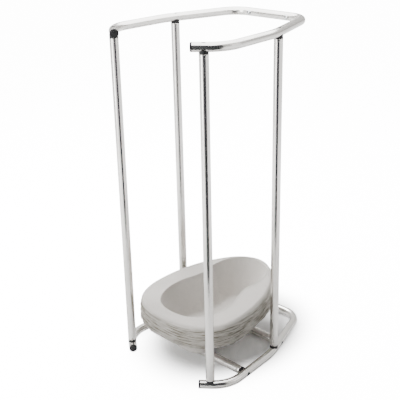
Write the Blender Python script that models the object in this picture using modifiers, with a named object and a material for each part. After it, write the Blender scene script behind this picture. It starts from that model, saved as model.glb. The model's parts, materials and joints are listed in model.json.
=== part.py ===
"""A stack of nested moulded-pulp bedpans standing in an open-fronted stainless tube rack.

Two identical C-shaped rails, one on the floor and one at the top, are held apart by four
posts. Two cross-bars between the sides of the base rail carry the stack. Every tube end
sits on a black saddle plug. A cap screw, whose head lies inside the rail, draws the plug's
threaded insert against it.

The frame is X to the right, Y towards the back and Z up. The origin is on the floor, under
the middle of the rack's outer box, in its plane of symmetry.
"""

import math

import bmesh
import bpy
from mathutils import Matrix, Vector

# Driving dimensions, in metres and radians.

# The rack
HEIGHT = 0.880
TUBE_DIAMETER = 0.022
TUBE_WALL = 0.0012
SIDE_CLEARANCE = 0.0139        # widest part of a pan to the inside of the rail
FRONT_SETBACK = 0.0083          # front of the rail's caps to the front of the pans
REAR_CLEARANCE = 0.0203         # back of the pans to the rear stretch of the rail
END_ANGLE = math.radians(38.0)     # the rail's open ends turn in by this much from the X axis
END_STRETCH = 0.0729           # rail end to the corner point of the shoulder bend
SHOULDER_RADIUS = 0.083
KINK_INSET = 0.0075            # the side narrows by this much from shoulder to kink
KINK_FROM_REAR = 0.2013
KINK_RADIUS = 0.214
REAR_CORNER_INSET = 0.0695
REAR_CORNER_RADIUS = 0.056
FRONT_POST_FROM_END = 0.0252
REAR_POST_BEHIND_KINK = 0.0211
FRONT_BAR_BEHIND_SHOULDER = 0.0678
REAR_BAR_BEHIND_KINK = 0.0583
COLLAR_THICKNESS = 0.0037      # thinnest part of a saddle's collar
COLLAR_HORN = 0.0055           # the saddle's horns end this far from the rail's axis
PLUG_LENGTH = 0.020
PLUG_CLEARANCE = 0.0006
CAP_THICKNESS = 0.0045
CAP_CHAMFER = 0.0010
CAP_PLUG_LENGTH = 0.012

# Fasteners
SCREW_DIAMETER = 0.006
SCREW_LENGTH = 0.025
SCREW_HEAD_DIAMETER = 0.010
SCREW_HEAD_HEIGHT = 0.006
HEAD_CLEARANCE = 0.0008        # on the diameter, where a screw's head goes into the rail
SHANK_CLEARANCE = 0.0006       # on the diameter, round a screw's shank
INSERT_DIAMETER = 0.010
INSERT_LENGTH = 0.014
INSERT_SETBACK = 0.003         # the insert starts this far inside the end of the tube
WALL_BOLT_FROM_CORNER = 0.05085  # along the rear stretch, from the rear corner's bend point
WALL_BOLT_DIAMETER = 0.008
WALL_BOLT_HEAD_DIAMETER = 0.014
WALL_BOLT_HEAD_HEIGHT = 0.0045
WALL_BOLT_CLEARANCE = 0.0008   # on the diameter, in the rail
WALL_BOLT_REACH = 0.006        # the shank stands out this far behind the rail

# The pans
PAN_COUNT = 7
PAN_LENGTH = 0.3969
PAN_WIDTH = 0.3149
PAN_HEIGHT = 0.0991            # underside to rim, at the middle of the pan
PAN_WALL = 0.0014
NEST_GAP = 0.00046             # between the walls of two nested pans
RIM_SLOPE = 0.049              # the rim rises towards the back
RIM_WIDEST = 0.1345             # front of the pan to its widest place
RIM_FRONT_POWER = 2.45
RIM_REAR_POWER = 1.9
RIM_ROLL = 0.005
SKIRT_DEPTH = 0.016
SKIRT_FLARE = math.radians(15.0)
FLANGE_FALL = 0.0015
FRONT_FLANGE = 0.0375          # outer edge to the bowl's mouth, at the front, sides and back
SIDE_FLANGE = 0.06245
REAR_FLANGE = 0.019
LOBE_FROM_FRONT = 0.1445       # widest place of the mouth's front lobe
WAIST_PINCH = 0.022            # the waist is this much narrower on each side than the front lobe
WAIST_FROM_REAR = 0.1514
REAR_LOBE_PINCH = 0.0165
REAR_LOBE_FROM_REAR = 0.1154
MOUTH_FRONT_POWER = 2.4
MOUTH_REAR_POWER = 2.15
BOWL_DRAFT_INSET = 0.036       # the bowl's foot lies this far inside its mouth
FLOOR_ROUND = 0.010
LIP_RISE = 0.002
LIP_WIDTH = 0.003

GAP = 0.0003                   # between pieces that rest on or sit in each other
TUBE_SIDES = 12
HOLE_SIDES = 10

# Worked out from the driving dimensions
TUBE_RADIUS = TUBE_DIAMETER / 2
BORE_RADIUS = TUBE_RADIUS - TUBE_WALL
PLUG_RADIUS = BORE_RADIUS - PLUG_CLEARANCE
FLAT_SHARE = math.cos(math.pi / TUBE_SIDES)    # flat of a faceted tube over its corner
BASE_Z = TUBE_RADIUS
TOP_Z = HEIGHT - TUBE_RADIUS
DEPTH = FRONT_SETBACK + PAN_LENGTH + REAR_CLEARANCE + TUBE_DIAMETER + WALL_BOLT_REACH
FRONT_Y = -DEPTH / 2
REAR_Y = DEPTH / 2 - WALL_BOLT_REACH - TUBE_RADIUS
SHOULDER_X = PAN_WIDTH / 2 + SIDE_CLEARANCE + TUBE_RADIUS
REAR_CORNER_X = SHOULDER_X - REAR_CORNER_INSET
WALL_BOLT_X = REAR_CORNER_X - WALL_BOLT_FROM_CORNER
CAP_DROP = (CAP_THICKNESS - CAP_CHAMFER) * math.sin(END_ANGLE) + TUBE_RADIUS * math.cos(END_ANGLE)
ACCESS_HOLE_RADIUS = (SCREW_HEAD_DIAMETER + HEAD_CLEARANCE) / 2
SCREW_HOLE_RADIUS = (SCREW_DIAMETER + SHANK_CLEARANCE) / 2
WALL_BOLT_HOLE_RADIUS = (WALL_BOLT_DIAMETER + WALL_BOLT_CLEARANCE) / 2
PAN_FRONT_Y = FRONT_Y + FRONT_SETBACK
PAN_MIDDLE_Y = PAN_FRONT_Y + PAN_LENGTH / 2
NEST_PITCH = (PAN_WALL + NEST_GAP) / math.sin(SKIRT_FLARE)
STACK_Z = TUBE_DIAMETER + GAP

# Colours: red, green, blue, roughness and metallic
FINISHES = {
    "stainless_tube": (0.72, 0.71, 0.69, 0.28, 1.0),
    "black_nylon": (0.02, 0.02, 0.022, 0.55, 0.0),
    "zinc_screw": (0.60, 0.61, 0.62, 0.35, 1.0),
    "brass_insert": (0.74, 0.58, 0.28, 0.35, 1.0),
    "moulded_pulp": (0.66, 0.64, 0.61, 0.95, 0.0),
}


def new_collection(name):
    """Make an empty collection in the scene."""
    collection = bpy.data.collections.new(name)
    bpy.context.scene.collection.children.link(collection)
    return collection


def make_material(name):
    """Make the Principled material for one of the finishes."""
    red, green, blue, roughness, metallic = FINISHES[name]
    material = bpy.data.materials.new(name)
    material.use_nodes = True
    shader = material.node_tree.nodes["Principled BSDF"]
    shader.inputs["Base Color"].default_value = (red, green, blue, 1.0)
    shader.inputs["Roughness"].default_value = roughness
    shader.inputs["Metallic"].default_value = metallic
    return material


def add_object(name, mesh, collection, finish=None):
    """Put a mesh in the scene as an object."""
    item = bpy.data.objects.new(name, mesh)
    collection.objects.link(item)
    if finish:
        mesh.materials.clear()
        mesh.materials.append(MATERIALS[finish])
        mesh.shade_smooth()
        mesh.set_sharp_from_angle(angle=math.radians(40))
    else:
        item.hide_render = True
        item.display_type = "WIRE"
    return item


def subtract(item, cutter):
    """Cut one object with another."""
    boolean = item.modifiers.new("cut_" + cutter.name, "BOOLEAN")
    boolean.operation = "DIFFERENCE"
    boolean.solver = "EXACT"
    boolean.object = cutter


def frame_along(origin, axis, across=Vector((0.0, 0.0, 1.0))):
    """Return the placement whose Z runs along axis, with X as near to across as can be."""
    along = axis.normalized()
    side = (across - along * across.dot(along)).normalized()
    return Matrix.Translation(origin) @ Matrix((side, along.cross(side), along)).transposed().to_4x4()


# Round pieces

def turned_mesh(name, profile, sides):
    """Turn a closed profile of (radius, height) points, top to bottom, about the Z axis.

    The piece's corners stand half a facet off its X axis, clear of the ridges of a rail.
    """
    mesh = bpy.data.meshes.new(name)
    shape = bmesh.new()
    across, up = math.cos(math.pi / sides), math.sin(math.pi / sides)
    corners = [shape.verts.new((radius * across, radius * up, height)) for radius, height in profile]
    closed = profile[0][0] > 0
    for first, second in zip(corners, corners[1:] + corners[:1] * closed):
        shape.edges.new((first, second))
    bmesh.ops.spin(shape, geom=shape.verts[:] + shape.edges[:], axis=(0, 0, 1), cent=(0, 0, 0),
                   angle=2 * math.pi, steps=sides, use_merge=True)
    bmesh.ops.remove_doubles(shape, verts=shape.verts[:], dist=1e-6)
    bmesh.ops.recalc_face_normals(shape, faces=shape.faces[:])
    shape.to_mesh(mesh)
    shape.free()
    return mesh


def add_holes(name, holes):
    """Make one cutter from (placement, radius, near end, far end) cylinders along their Z."""
    mesh = bpy.data.meshes.new(name)
    shape = bmesh.new()
    half_facet = Matrix.Rotation(math.pi / HOLE_SIDES, 4, "Z")
    for placement, radius, near, far in holes:
        middle = Matrix.Translation((0, 0, (near + far) / 2)) @ half_facet
        bmesh.ops.create_cone(shape, cap_ends=True, segments=HOLE_SIDES, radius1=radius,
                              radius2=radius, depth=far - near, matrix=placement @ middle)
    shape.to_mesh(mesh)
    shape.free()
    return add_object(name, mesh, CUTTERS)


# The rail's route

def bend(before, corner, after, radius, steps):
    """Return the points of the arc that rounds a corner."""
    arriving = (corner - before).normalized()
    leaving = (after - corner).normalized()
    turn = arriving.angle(leaving)
    reach = radius * math.tan(turn / 2)
    start = corner - arriving * reach
    inward = (leaving - arriving * arriving.dot(leaving)).normalized()
    centre = start + inward * radius
    angles = [turn * step / steps for step in range(steps + 1)]
    return [centre - inward * radius * math.cos(angle) + arriving * radius * math.sin(angle)
            for angle in angles]


def rail_side():
    """Return the right half of a rail's centreline, from its front end to the rear corner."""
    end = Vector((SHOULDER_X - END_STRETCH * math.cos(END_ANGLE), FRONT_Y + CAP_DROP, 0.0))
    shoulder = end + END_STRETCH * Vector((math.cos(END_ANGLE), math.sin(END_ANGLE), 0.0))
    kink = Vector((SHOULDER_X - KINK_INSET, REAR_Y - KINK_FROM_REAR, 0.0))
    corner = Vector((REAR_CORNER_X, REAR_Y, 0.0))
    middle = Vector((0.0, REAR_Y, 0.0))
    points = [end]
    points += bend(end, shoulder, kink, SHOULDER_RADIUS, 4)
    points += bend(shoulder, kink, corner, KINK_RADIUS, 2)
    points += bend(kink, corner, middle, REAR_CORNER_RADIUS, 5)
    return points


def mirrored(point):
    """Return the point on the other side of the plane of symmetry."""
    return Vector((-point.x, point.y, point.z))


def rail_route(extra=0.0):
    """Return a rail's whole centreline, with both ends made longer by extra."""
    side = rail_side()
    side[0] = side[0] + (side[0] - side[1]).normalized() * extra
    return side + [mirrored(point) for point in reversed(side)]


def rail_at(y):
    """Return the point and the direction of the right side of the rail at a given Y."""
    side = rail_side()
    for first, second in zip(side, side[1:]):
        if first.y <= y <= second.y:
            share = (y - first.y) / (second.y - first.y)
            return first.lerp(second, share), (second - first).normalized()
    raise ValueError("the rail does not reach this far")


def tube_mesh(name, route, radius, height):
    """Sweep a circle along a level route at a height, as a closed mesh."""
    curve = bpy.data.curves.new(name, "CURVE")
    curve.dimensions = "3D"
    curve.bevel_depth = radius
    curve.bevel_resolution = TUBE_SIDES // 2 - 2
    curve.use_fill_caps = True
    spline = curve.splines.new("POLY")
    spline.points.add(len(route) - 1)
    for point, place in zip(spline.points, route):
        point.co = (place.x, place.y, height, 1.0)
    carrier = bpy.data.objects.new(name + "_curve", curve)
    CUTTERS.objects.link(carrier)
    evaluated = carrier.evaluated_get(bpy.context.evaluated_depsgraph_get())
    mesh = bpy.data.meshes.new_from_object(evaluated)
    bpy.data.objects.remove(carrier)
    shape = bmesh.new()
    shape.from_mesh(mesh)
    bmesh.ops.remove_doubles(shape, verts=shape.verts[:], dist=1e-6)
    bmesh.ops.recalc_face_normals(shape, faces=shape.faces[:])
    shape.to_mesh(mesh)
    shape.free()
    mesh.name = name
    return mesh


# The joint between a tube's end and a rail

def end_distance(direction, axis):
    """Return how far from the rail's axis a tube's end lies, so that its collar clears it."""
    lean = abs(direction.dot(axis))
    return (TUBE_RADIUS * (1 + lean) + GAP) / math.sqrt(1 - lean * lean) + COLLAR_THICKNESS


def head_seat():
    """Return how far from the rail's axis the screw's head rests on the inside of its wall."""
    head_radius = SCREW_HEAD_DIAMETER / 2
    return math.sqrt((BORE_RADIUS * FLAT_SHARE) ** 2 - head_radius ** 2) - 2 * GAP


def joint_holes(placement):
    """Return the two holes that a joint's screw needs in its rail."""
    outside = TUBE_RADIUS + 0.003
    inside = head_seat() - 0.003
    return [
        (placement, ACCESS_HOLE_RADIUS, -outside, -inside),
        (placement, SCREW_HOLE_RADIUS, inside, outside),
    ]


def add_joint(name, placement, tube_end, rail_envelope):
    """Add the saddle plug, threaded insert and cap screw at one end of a tube.

    The placement is on the rail's axis, with Z running into the tube.
    """
    collar_end = tube_end - GAP
    insert_start = tube_end + INSERT_SETBACK
    insert_radius = INSERT_DIAMETER / 2
    plug = add_object("plug_" + name, turned_mesh("plug_" + name, [
        (PLUG_RADIUS, collar_end + PLUG_LENGTH),
        (PLUG_RADIUS, collar_end),
        (TUBE_RADIUS, collar_end),
        (TUBE_RADIUS, COLLAR_HORN),
        (SCREW_HOLE_RADIUS, COLLAR_HORN),
        (SCREW_HOLE_RADIUS, insert_start),
        (insert_radius + GAP, insert_start),
        (insert_radius + GAP, collar_end + PLUG_LENGTH),
    ], TUBE_SIDES), PARTS, "black_nylon")
    plug.matrix_world = placement
    subtract(plug, rail_envelope)
    insert = add_object("insert_" + name, turned_mesh("insert_" + name, [
        (insert_radius, insert_start + GAP + INSERT_LENGTH),
        (insert_radius, insert_start + GAP),
        (SCREW_HOLE_RADIUS + GAP, insert_start + GAP),
        (SCREW_HOLE_RADIUS + GAP, insert_start + GAP + INSERT_LENGTH),
    ], HOLE_SIDES), PARTS, "brass_insert")
    insert.matrix_world = placement
    seat = head_seat()
    screw = add_object("screw_" + name, turned_mesh("screw_" + name, [
        (0.0, seat + SCREW_LENGTH),
        (SCREW_DIAMETER / 2, seat + SCREW_LENGTH),
        (SCREW_DIAMETER / 2, seat),
        (SCREW_HEAD_DIAMETER / 2, seat),
        (SCREW_HEAD_DIAMETER / 2, seat - SCREW_HEAD_HEIGHT),
        (0.0, seat - SCREW_HEAD_HEIGHT),
    ], HOLE_SIDES), PARTS, "zinc_screw")
    screw.matrix_world = placement


def add_tube(name, start, end):
    """Add a straight tube, open at both ends."""
    length = (end - start).length
    tube = add_object(name, turned_mesh(name, [
        (TUBE_RADIUS, length),
        (TUBE_RADIUS, 0.0),
        (BORE_RADIUS, 0.0),
        (BORE_RADIUS, length),
    ], TUBE_SIDES), PARTS, "stainless_tube")
    tube.matrix_world = frame_along(start, end - start, Vector((0.0, 1.0, 0.0)))


# The rack

def post_places():
    """Return each post's name with its place and the rail's direction there."""
    end, next_point = rail_side()[:2]
    direction = (next_point - end).normalized()
    front = end + direction * FRONT_POST_FROM_END
    rear, rear_direction = rail_at(REAR_Y - KINK_FROM_REAR + REAR_POST_BEHIND_KINK)
    return [
        ("front_right", front, direction),
        ("front_left", mirrored(front), mirrored(direction)),
        ("rear_right", rear, rear_direction),
        ("rear_left", mirrored(rear), mirrored(rear_direction)),
    ]


def bar_places():
    """Return each cross-bar's name with its right end's place and the rail's direction there."""
    shoulder_y = FRONT_Y + CAP_DROP + END_STRETCH * math.sin(END_ANGLE)
    kink_y = REAR_Y - KINK_FROM_REAR
    return [
        ("front", *rail_at(shoulder_y + FRONT_BAR_BEHIND_SHOULDER)),
        ("rear", *rail_at(kink_y + REAR_BAR_BEHIND_KINK)),
    ]


def add_posts(envelopes):
    """Add the four posts with a joint at each end, and return the holes for each rail."""
    holes = {"top": [], "base": []}
    for name, place, direction in post_places():
        reach = end_distance(direction, Vector((0.0, 0.0, 1.0)))
        add_tube("post_" + name, place + Vector((0, 0, BASE_Z + reach)),
                 place + Vector((0, 0, TOP_Z - reach)))
        for level, height, upward in (("base", BASE_Z, 1.0), ("top", TOP_Z, -1.0)):
            axis = Vector((0.0, 0.0, upward))
            placement = frame_along(place + Vector((0, 0, height)), axis, direction)
            add_joint(f"{name}_{level}", placement, reach, envelopes[level])
            holes[level] += joint_holes(placement)
    return holes


def add_cross_bars(envelope):
    """Add the two cross-bars with a joint at each end, and return the base rail's holes."""
    holes = []
    for name, place, direction in bar_places():
        inward = Vector((-1.0, 0.0, 0.0))
        reach = end_distance(direction, inward)
        right = place + Vector((0, 0, BASE_Z))
        left = mirrored(right)
        add_tube("cross_bar_" + name, left - inward * reach, right + inward * reach)
        for side, origin, axis in (("right", right, inward), ("left", left, -inward)):
            placement = frame_along(origin, axis)
            add_joint(f"bar_{name}_{side}", placement, reach, envelope)
            holes += joint_holes(placement)
    return holes


def add_rail(level, height, holes):
    """Add one hollow rail, with its holes and the caps on its open ends."""
    name = level + "_rail"
    rail = add_object(name, tube_mesh(name, rail_route(), TUBE_RADIUS, height), PARTS,
                      "stainless_tube")
    bore = tube_mesh(name + "_bore", rail_route(extra=0.005), BORE_RADIUS, height)
    subtract(rail, add_object(name + "_bore", bore, CUTTERS))
    subtract(rail, add_holes(name + "_holes", holes))
    end, next_point = rail_side()[:2]
    outward = (end - next_point).normalized()
    for side, place, axis in (("right", end, outward), ("left", mirrored(end), mirrored(outward))):
        cap_name = f"cap_{level}_{side}"
        cap = add_object(cap_name, turned_mesh(cap_name, [
            (0.0, CAP_THICKNESS),
            (TUBE_RADIUS - CAP_CHAMFER, CAP_THICKNESS),
            (TUBE_RADIUS, CAP_THICKNESS - CAP_CHAMFER),
            (TUBE_RADIUS, GAP),
            (PLUG_RADIUS, GAP),
            (PLUG_RADIUS, -CAP_PLUG_LENGTH),
            (0.0, -CAP_PLUG_LENGTH),
        ], TUBE_SIDES), PARTS, "black_nylon")
        cap.matrix_world = frame_along(place + Vector((0, 0, height)), axis)


def add_wall_bolts():
    """Add the two bolts through the top rail's rear stretch, and return their holes."""
    holes = []
    seat = TUBE_RADIUS + GAP
    tip = -TUBE_RADIUS - WALL_BOLT_REACH
    head_radius = WALL_BOLT_HEAD_DIAMETER / 2
    for side, x in (("right", WALL_BOLT_X), ("left", -WALL_BOLT_X)):
        bolt_name = "wall_bolt_" + side
        bolt = add_object(bolt_name, turned_mesh(bolt_name, [
            (0.0, seat + WALL_BOLT_HEAD_HEIGHT),
            (head_radius * 0.6, seat + WALL_BOLT_HEAD_HEIGHT * 0.85),
            (head_radius, seat + WALL_BOLT_HEAD_HEIGHT * 0.25),
            (head_radius, seat),
            (WALL_BOLT_DIAMETER / 2, seat),
            (WALL_BOLT_DIAMETER / 2, tip),
            (0.0, tip),
        ], HOLE_SIDES), PARTS, "zinc_screw")
        placement = frame_along(Vector((x, REAR_Y, TOP_Z)), Vector((0.0, -1.0, 0.0)))
        bolt.matrix_world = placement
        margin = TUBE_RADIUS + 0.003
        holes.append((placement, WALL_BOLT_HOLE_RADIUS, -margin, margin))
    return holes


# The pans

def superellipse_quarter(half_width, length, power, steps):
    """Return (x, distance from the widest place) from the tip of an oval to its widest place."""
    points = []
    for step in range(steps + 1):
        angle = math.pi / 2 * step / steps
        points.append((half_width * math.sin(angle) ** (2 / power),
                       length * math.cos(angle) ** (2 / power)))
    return points


def mouth_outline():
    """Return the right half of the bowl's pear-shaped mouth, front to back."""
    lobe = PAN_WIDTH / 2 - SIDE_FLANGE
    waist = lobe - WAIST_PINCH
    rear_lobe = lobe - REAR_LOBE_PINCH
    waist_y = PAN_LENGTH - WAIST_FROM_REAR
    rear_y = PAN_LENGTH - REAR_LOBE_FROM_REAR
    nose = superellipse_quarter(lobe, LOBE_FROM_FRONT - FRONT_FLANGE, MOUTH_FRONT_POWER, 4)
    outline = [(x, LOBE_FROM_FRONT - y) for x, y in nose]
    stretches = (
        (lobe, LOBE_FROM_FRONT, waist, waist_y, 3),
        (waist, waist_y, rear_lobe, rear_y, 2),
    )
    for from_x, from_y, to_x, to_y, steps in stretches:
        for step in range(1, steps + 1):
            share = step / steps
            ease = (1 - math.cos(math.pi * share)) / 2
            outline.append((from_x + (to_x - from_x) * ease, from_y + (to_y - from_y) * share))
    tail = superellipse_quarter(rear_lobe, REAR_LOBE_FROM_REAR - REAR_FLANGE,
                                MOUTH_REAR_POWER, 3)
    outline += [(x, rear_y + y) for x, y in reversed(tail[:-1])]
    return [Vector((x, y)) for x, y in outline]


def rim_half_width(y):
    """Return the pan's half width at a distance from its front."""
    if y < RIM_WIDEST:
        share, power = 1 - y / RIM_WIDEST, RIM_FRONT_POWER
    else:
        share, power = (y - RIM_WIDEST) / (PAN_LENGTH - RIM_WIDEST), RIM_REAR_POWER
    return PAN_WIDTH / 2 * max(0.0, 1 - share ** power) ** (1 / power)


def rim_outline(mouth):
    """Return the right half of the pan's outer edge, one point for each point of the mouth."""
    stretch = PAN_LENGTH / (mouth[-1].y - mouth[0].y)
    ys = [(point.y - mouth[0].y) * stretch for point in mouth]
    return [Vector((rim_half_width(y), y)) for y in ys]


def shift_outline(outline, distances):
    """Move each point of a half outline outwards by its distance, keeping the ends on X = 0."""
    shifted = []
    for index, point in enumerate(outline):
        before = outline[index - 1] if index else Vector((-outline[1].x, outline[1].y))
        last = index == len(outline) - 1
        after = Vector((-outline[-2].x, outline[-2].y)) if last else outline[index + 1]
        normals = []
        for step in (point - before, after - point):
            normals.append(Vector((step.y, -step.x)).normalized())
        mitre = (normals[0] + normals[1]) / (1 + normals[0].dot(normals[1]))
        moved = point + mitre * distances[index]
        if index == 0 or last:
            moved.x = 0.0
        shifted.append(moved)
    return shifted


def pan_rings():
    """Return the upper surface of half a pan as rings of points, from the floor to the skirt."""
    mouth = mouth_outline()
    edge = rim_outline(mouth)
    skirt_out = (SKIRT_DEPTH - RIM_ROLL) * math.tan(SKIRT_FLARE)
    count = len(mouth)
    flange_edge = shift_outline(edge, [-skirt_out - RIM_ROLL] * count)
    skirt_top = shift_outline(edge, [-skirt_out] * count)
    widths = [(outer - inner).length for outer, inner in zip(flange_edge, mouth)]
    lip_crest = shift_outline(mouth, [min(LIP_WIDTH, 0.3 * width) for width in widths])
    lip_foot = shift_outline(mouth, [min(2.5 * LIP_WIDTH, 0.65 * width) for width in widths])
    foot_height = 0.7 * FLOOR_ROUND
    wall_foot = BOWL_DRAFT_INSET * (1 - foot_height / PAN_HEIGHT)
    floor = [PAN_WALL] * count
    above_floor = [PAN_WALL + foot_height] * count

    def at_rim(outline, drop):
        """Return the heights of an outline that lies below the sloping rim by drop."""
        return [PAN_HEIGHT + RIM_SLOPE * (point.y - PAN_LENGTH / 2) - drop for point in outline]

    levels = [
        (shift_outline(mouth, [-BOWL_DRAFT_INSET - FLOOR_ROUND / 2] * count), floor),
        (shift_outline(mouth, [-wall_foot] * count), above_floor),
        (mouth, at_rim(mouth, LIP_RISE)),
        (lip_crest, at_rim(lip_crest, -LIP_RISE)),
        (lip_foot, at_rim(lip_foot, 0.0)),
        (flange_edge, at_rim(flange_edge, FLANGE_FALL)),
        (skirt_top, at_rim(skirt_top, RIM_ROLL)),
        (edge, at_rim(edge, SKIRT_DEPTH)),
    ]
    return [[Vector((point.x, point.y - PAN_LENGTH / 2, height))
             for point, height in zip(outline, heights)] for outline, heights in levels]


def pan_mesh():
    """Loft half a pan through its rings and close its floor."""
    mesh = bpy.data.meshes.new("pan")
    shape = bmesh.new()
    rings = [[shape.verts.new(point) for point in ring] for ring in pan_rings()]
    shape.faces.new(rings[0])
    for inner, outer in zip(rings, rings[1:]):
        for index in range(len(inner) - 1):
            shape.faces.new((inner[index], outer[index], outer[index + 1], inner[index + 1]))
    shape.to_mesh(mesh)
    shape.free()
    return mesh


def add_pans():
    """Add the nested pans, the lowest resting on the cross-bars."""
    for number in range(1, PAN_COUNT + 1):
        name = f"pan_{number}"
        pan = add_object(name, pan_mesh(), PARTS, "moulded_pulp")
        pan.location = (0.0, PAN_MIDDLE_Y, STACK_Z + (number - 1) * NEST_PITCH)
        mirror = pan.modifiers.new("both_halves", "MIRROR")
        mirror.use_clip = True
        mirror.merge_threshold = 0.00005
        wall = pan.modifiers.new("wall", "SOLIDIFY")
        wall.thickness = PAN_WALL
        wall.offset = -1.0
        wall.use_even_offset = True


def main():
    """Build the rack and the stack."""
    envelopes = {}
    for level, height in (("base", BASE_Z), ("top", TOP_Z)):
        name = level + "_envelope"
        mesh = tube_mesh(name, rail_route(extra=0.005), TUBE_RADIUS + GAP, height)
        envelopes[level] = add_object(name, mesh, CUTTERS)
    holes = add_posts(envelopes)
    holes["base"] += add_cross_bars(envelopes["base"])
    holes["top"] += add_wall_bolts()
    add_rail("base", BASE_Z, holes["base"])
    add_rail("top", TOP_Z, holes["top"])
    add_pans()


for leftover in list(bpy.data.objects):
    bpy.data.objects.remove(leftover)
PARTS = new_collection("bedpan_rack")
CUTTERS = new_collection("cutters")
MATERIALS = {name: make_material(name) for name in FINISHES}
main()
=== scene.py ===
"""Finished surfaces for a stack of moulded-pulp bedpans in a stainless tube rack.

Each operator makes one piece, or one group of like pieces, round the packed frame: the two
bent rails, the straight posts and cross-bars, the black plugs and caps, the fasteners, the
pans and the studio they stand in. Lengths are in metres and angles in radians.
"""

import json
import math

import bmesh
import bpy
import numpy as np
from bpy.props import BoolProperty, FloatProperty, FloatVectorProperty, IntProperty, PointerProperty
from mathutils import Matrix, Vector, noise

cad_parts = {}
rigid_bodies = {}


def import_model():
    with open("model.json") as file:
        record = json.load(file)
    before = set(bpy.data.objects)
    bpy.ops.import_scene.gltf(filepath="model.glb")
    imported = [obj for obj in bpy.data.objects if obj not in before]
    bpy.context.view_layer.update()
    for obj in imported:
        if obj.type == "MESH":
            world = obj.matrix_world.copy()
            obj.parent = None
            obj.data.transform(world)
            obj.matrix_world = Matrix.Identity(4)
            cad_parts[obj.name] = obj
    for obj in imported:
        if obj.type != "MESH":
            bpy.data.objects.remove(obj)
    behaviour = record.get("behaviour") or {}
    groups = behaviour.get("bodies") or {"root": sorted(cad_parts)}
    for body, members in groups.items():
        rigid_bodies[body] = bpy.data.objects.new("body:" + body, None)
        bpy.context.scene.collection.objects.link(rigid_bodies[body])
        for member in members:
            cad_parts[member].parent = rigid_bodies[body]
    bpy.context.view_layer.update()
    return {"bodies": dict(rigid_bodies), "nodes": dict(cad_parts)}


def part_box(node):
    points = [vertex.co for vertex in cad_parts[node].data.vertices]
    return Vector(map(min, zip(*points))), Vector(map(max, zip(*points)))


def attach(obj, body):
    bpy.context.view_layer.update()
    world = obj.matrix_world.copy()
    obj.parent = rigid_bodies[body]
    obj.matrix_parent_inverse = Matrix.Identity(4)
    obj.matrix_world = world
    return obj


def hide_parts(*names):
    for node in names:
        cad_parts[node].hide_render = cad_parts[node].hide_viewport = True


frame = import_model()

bl_info = {
    "name": "Bedpan rack",
    "version": (1, 0, 0),
    "blender": (4, 5, 0),
    "location": "3D View > Sidebar > Bedpan rack",
    "description": "Builds a stack of moulded-pulp bedpans in its stainless tube rack",
    "category": "Add Mesh",
}

RACK = "rack"
POSTS = ("front_left", "front_right", "rear_left", "rear_right")
BARS = ("front", "rear")
SIDES = ("left", "right")
LEVELS = ("base", "top")
POST_JOINTS = [f"{post}_{level}" for post in POSTS for level in LEVELS]
BAR_JOINTS = [f"bar_{bar}_{side}" for bar in BARS for side in SIDES]
PANS = sorted(body for body in frame["bodies"] if body.startswith("pan_"))
UP = Vector((0.0, 0.0, 1.0))


def length(name, default, description):
    """Make a length property, in metres."""
    return FloatProperty(name=name, description=description, default=default, unit="LENGTH",
                         precision=5)


def colour(name, default, description):
    """Make a colour property."""
    return FloatVectorProperty(name=name, description=description, default=default, size=3,
                               subtype="COLOR", min=0.0, max=1.0)


def angle(name, degrees, description):
    """Make an angle property from its default in degrees."""
    return FloatProperty(name=name, description=description, default=math.radians(degrees),
                         unit="ROTATION", subtype="ANGLE")


# Sizes and colours that a user would change

class TubeSettings(bpy.types.PropertyGroup):
    """The rack's tube, its bends and its holes."""

    radius: length("Radius", 0.011, "Outer radius of every tube")
    wall: length("Wall", 0.0012, "Wall thickness of every tube")
    sides: IntProperty(name="Sides", description="Facets round a tube", default=48, min=12)
    end_angle: angle("End angle", 38.0, "How far the rail's open ends turn in from straight across")
    end_stretch: length("End stretch", 0.0729, "Open end to the corner of the shoulder bend")
    shoulder_radius: length("Shoulder radius", 0.083, "Radius of the shoulder bend")
    shoulder_half_width: length("Shoulder half width", 0.18235, "Middle plane to shoulder corner")
    kink_inset: length("Kink inset", 0.0075, "Narrowing of the side from shoulder to kink")
    kink_from_rear: length("Kink from rear", 0.2013, "Rear stretch to the kink")
    kink_radius: length("Kink radius", 0.214, "Radius of the kink")
    corner_inset: length("Rear corner inset", 0.0695, "Shoulder corner to rear corner, across")
    corner_radius: length("Rear corner radius", 0.056, "Radius of the rear corner")
    access_radius: length("Access hole", 0.0054, "Radius of the hole that takes a screw's head")
    screw_hole_radius: length("Screw hole", 0.0033, "Radius of the hole round a screw's shank")
    swage_from_end: length("Swage from end", 0.0095, "Tube end to the middle of its rolled groove")
    swage_depth: length("Swage depth", 0.00022, "Depth of the rolled groove")


class PlasticSettings(bpy.types.PropertyGroup):
    """The black saddle plugs and end caps."""

    horn: length("Horn", 0.0055, "Rail's axis to the ends of the saddle's horns")
    spigot_length: length("Spigot length", 0.020, "Length of a plug inside its tube")
    fit: length("Fit", 0.0006, "Clearance round a plug or cap in its tube")
    cap_thickness: length("Cap thickness", 0.0045, "Thickness of an end cap's face")
    cap_spigot: length("Cap spigot", 0.012, "Length of an end cap inside its rail")
    gap: length("Gap", 0.0003, "Air gap between touching pieces")


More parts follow.
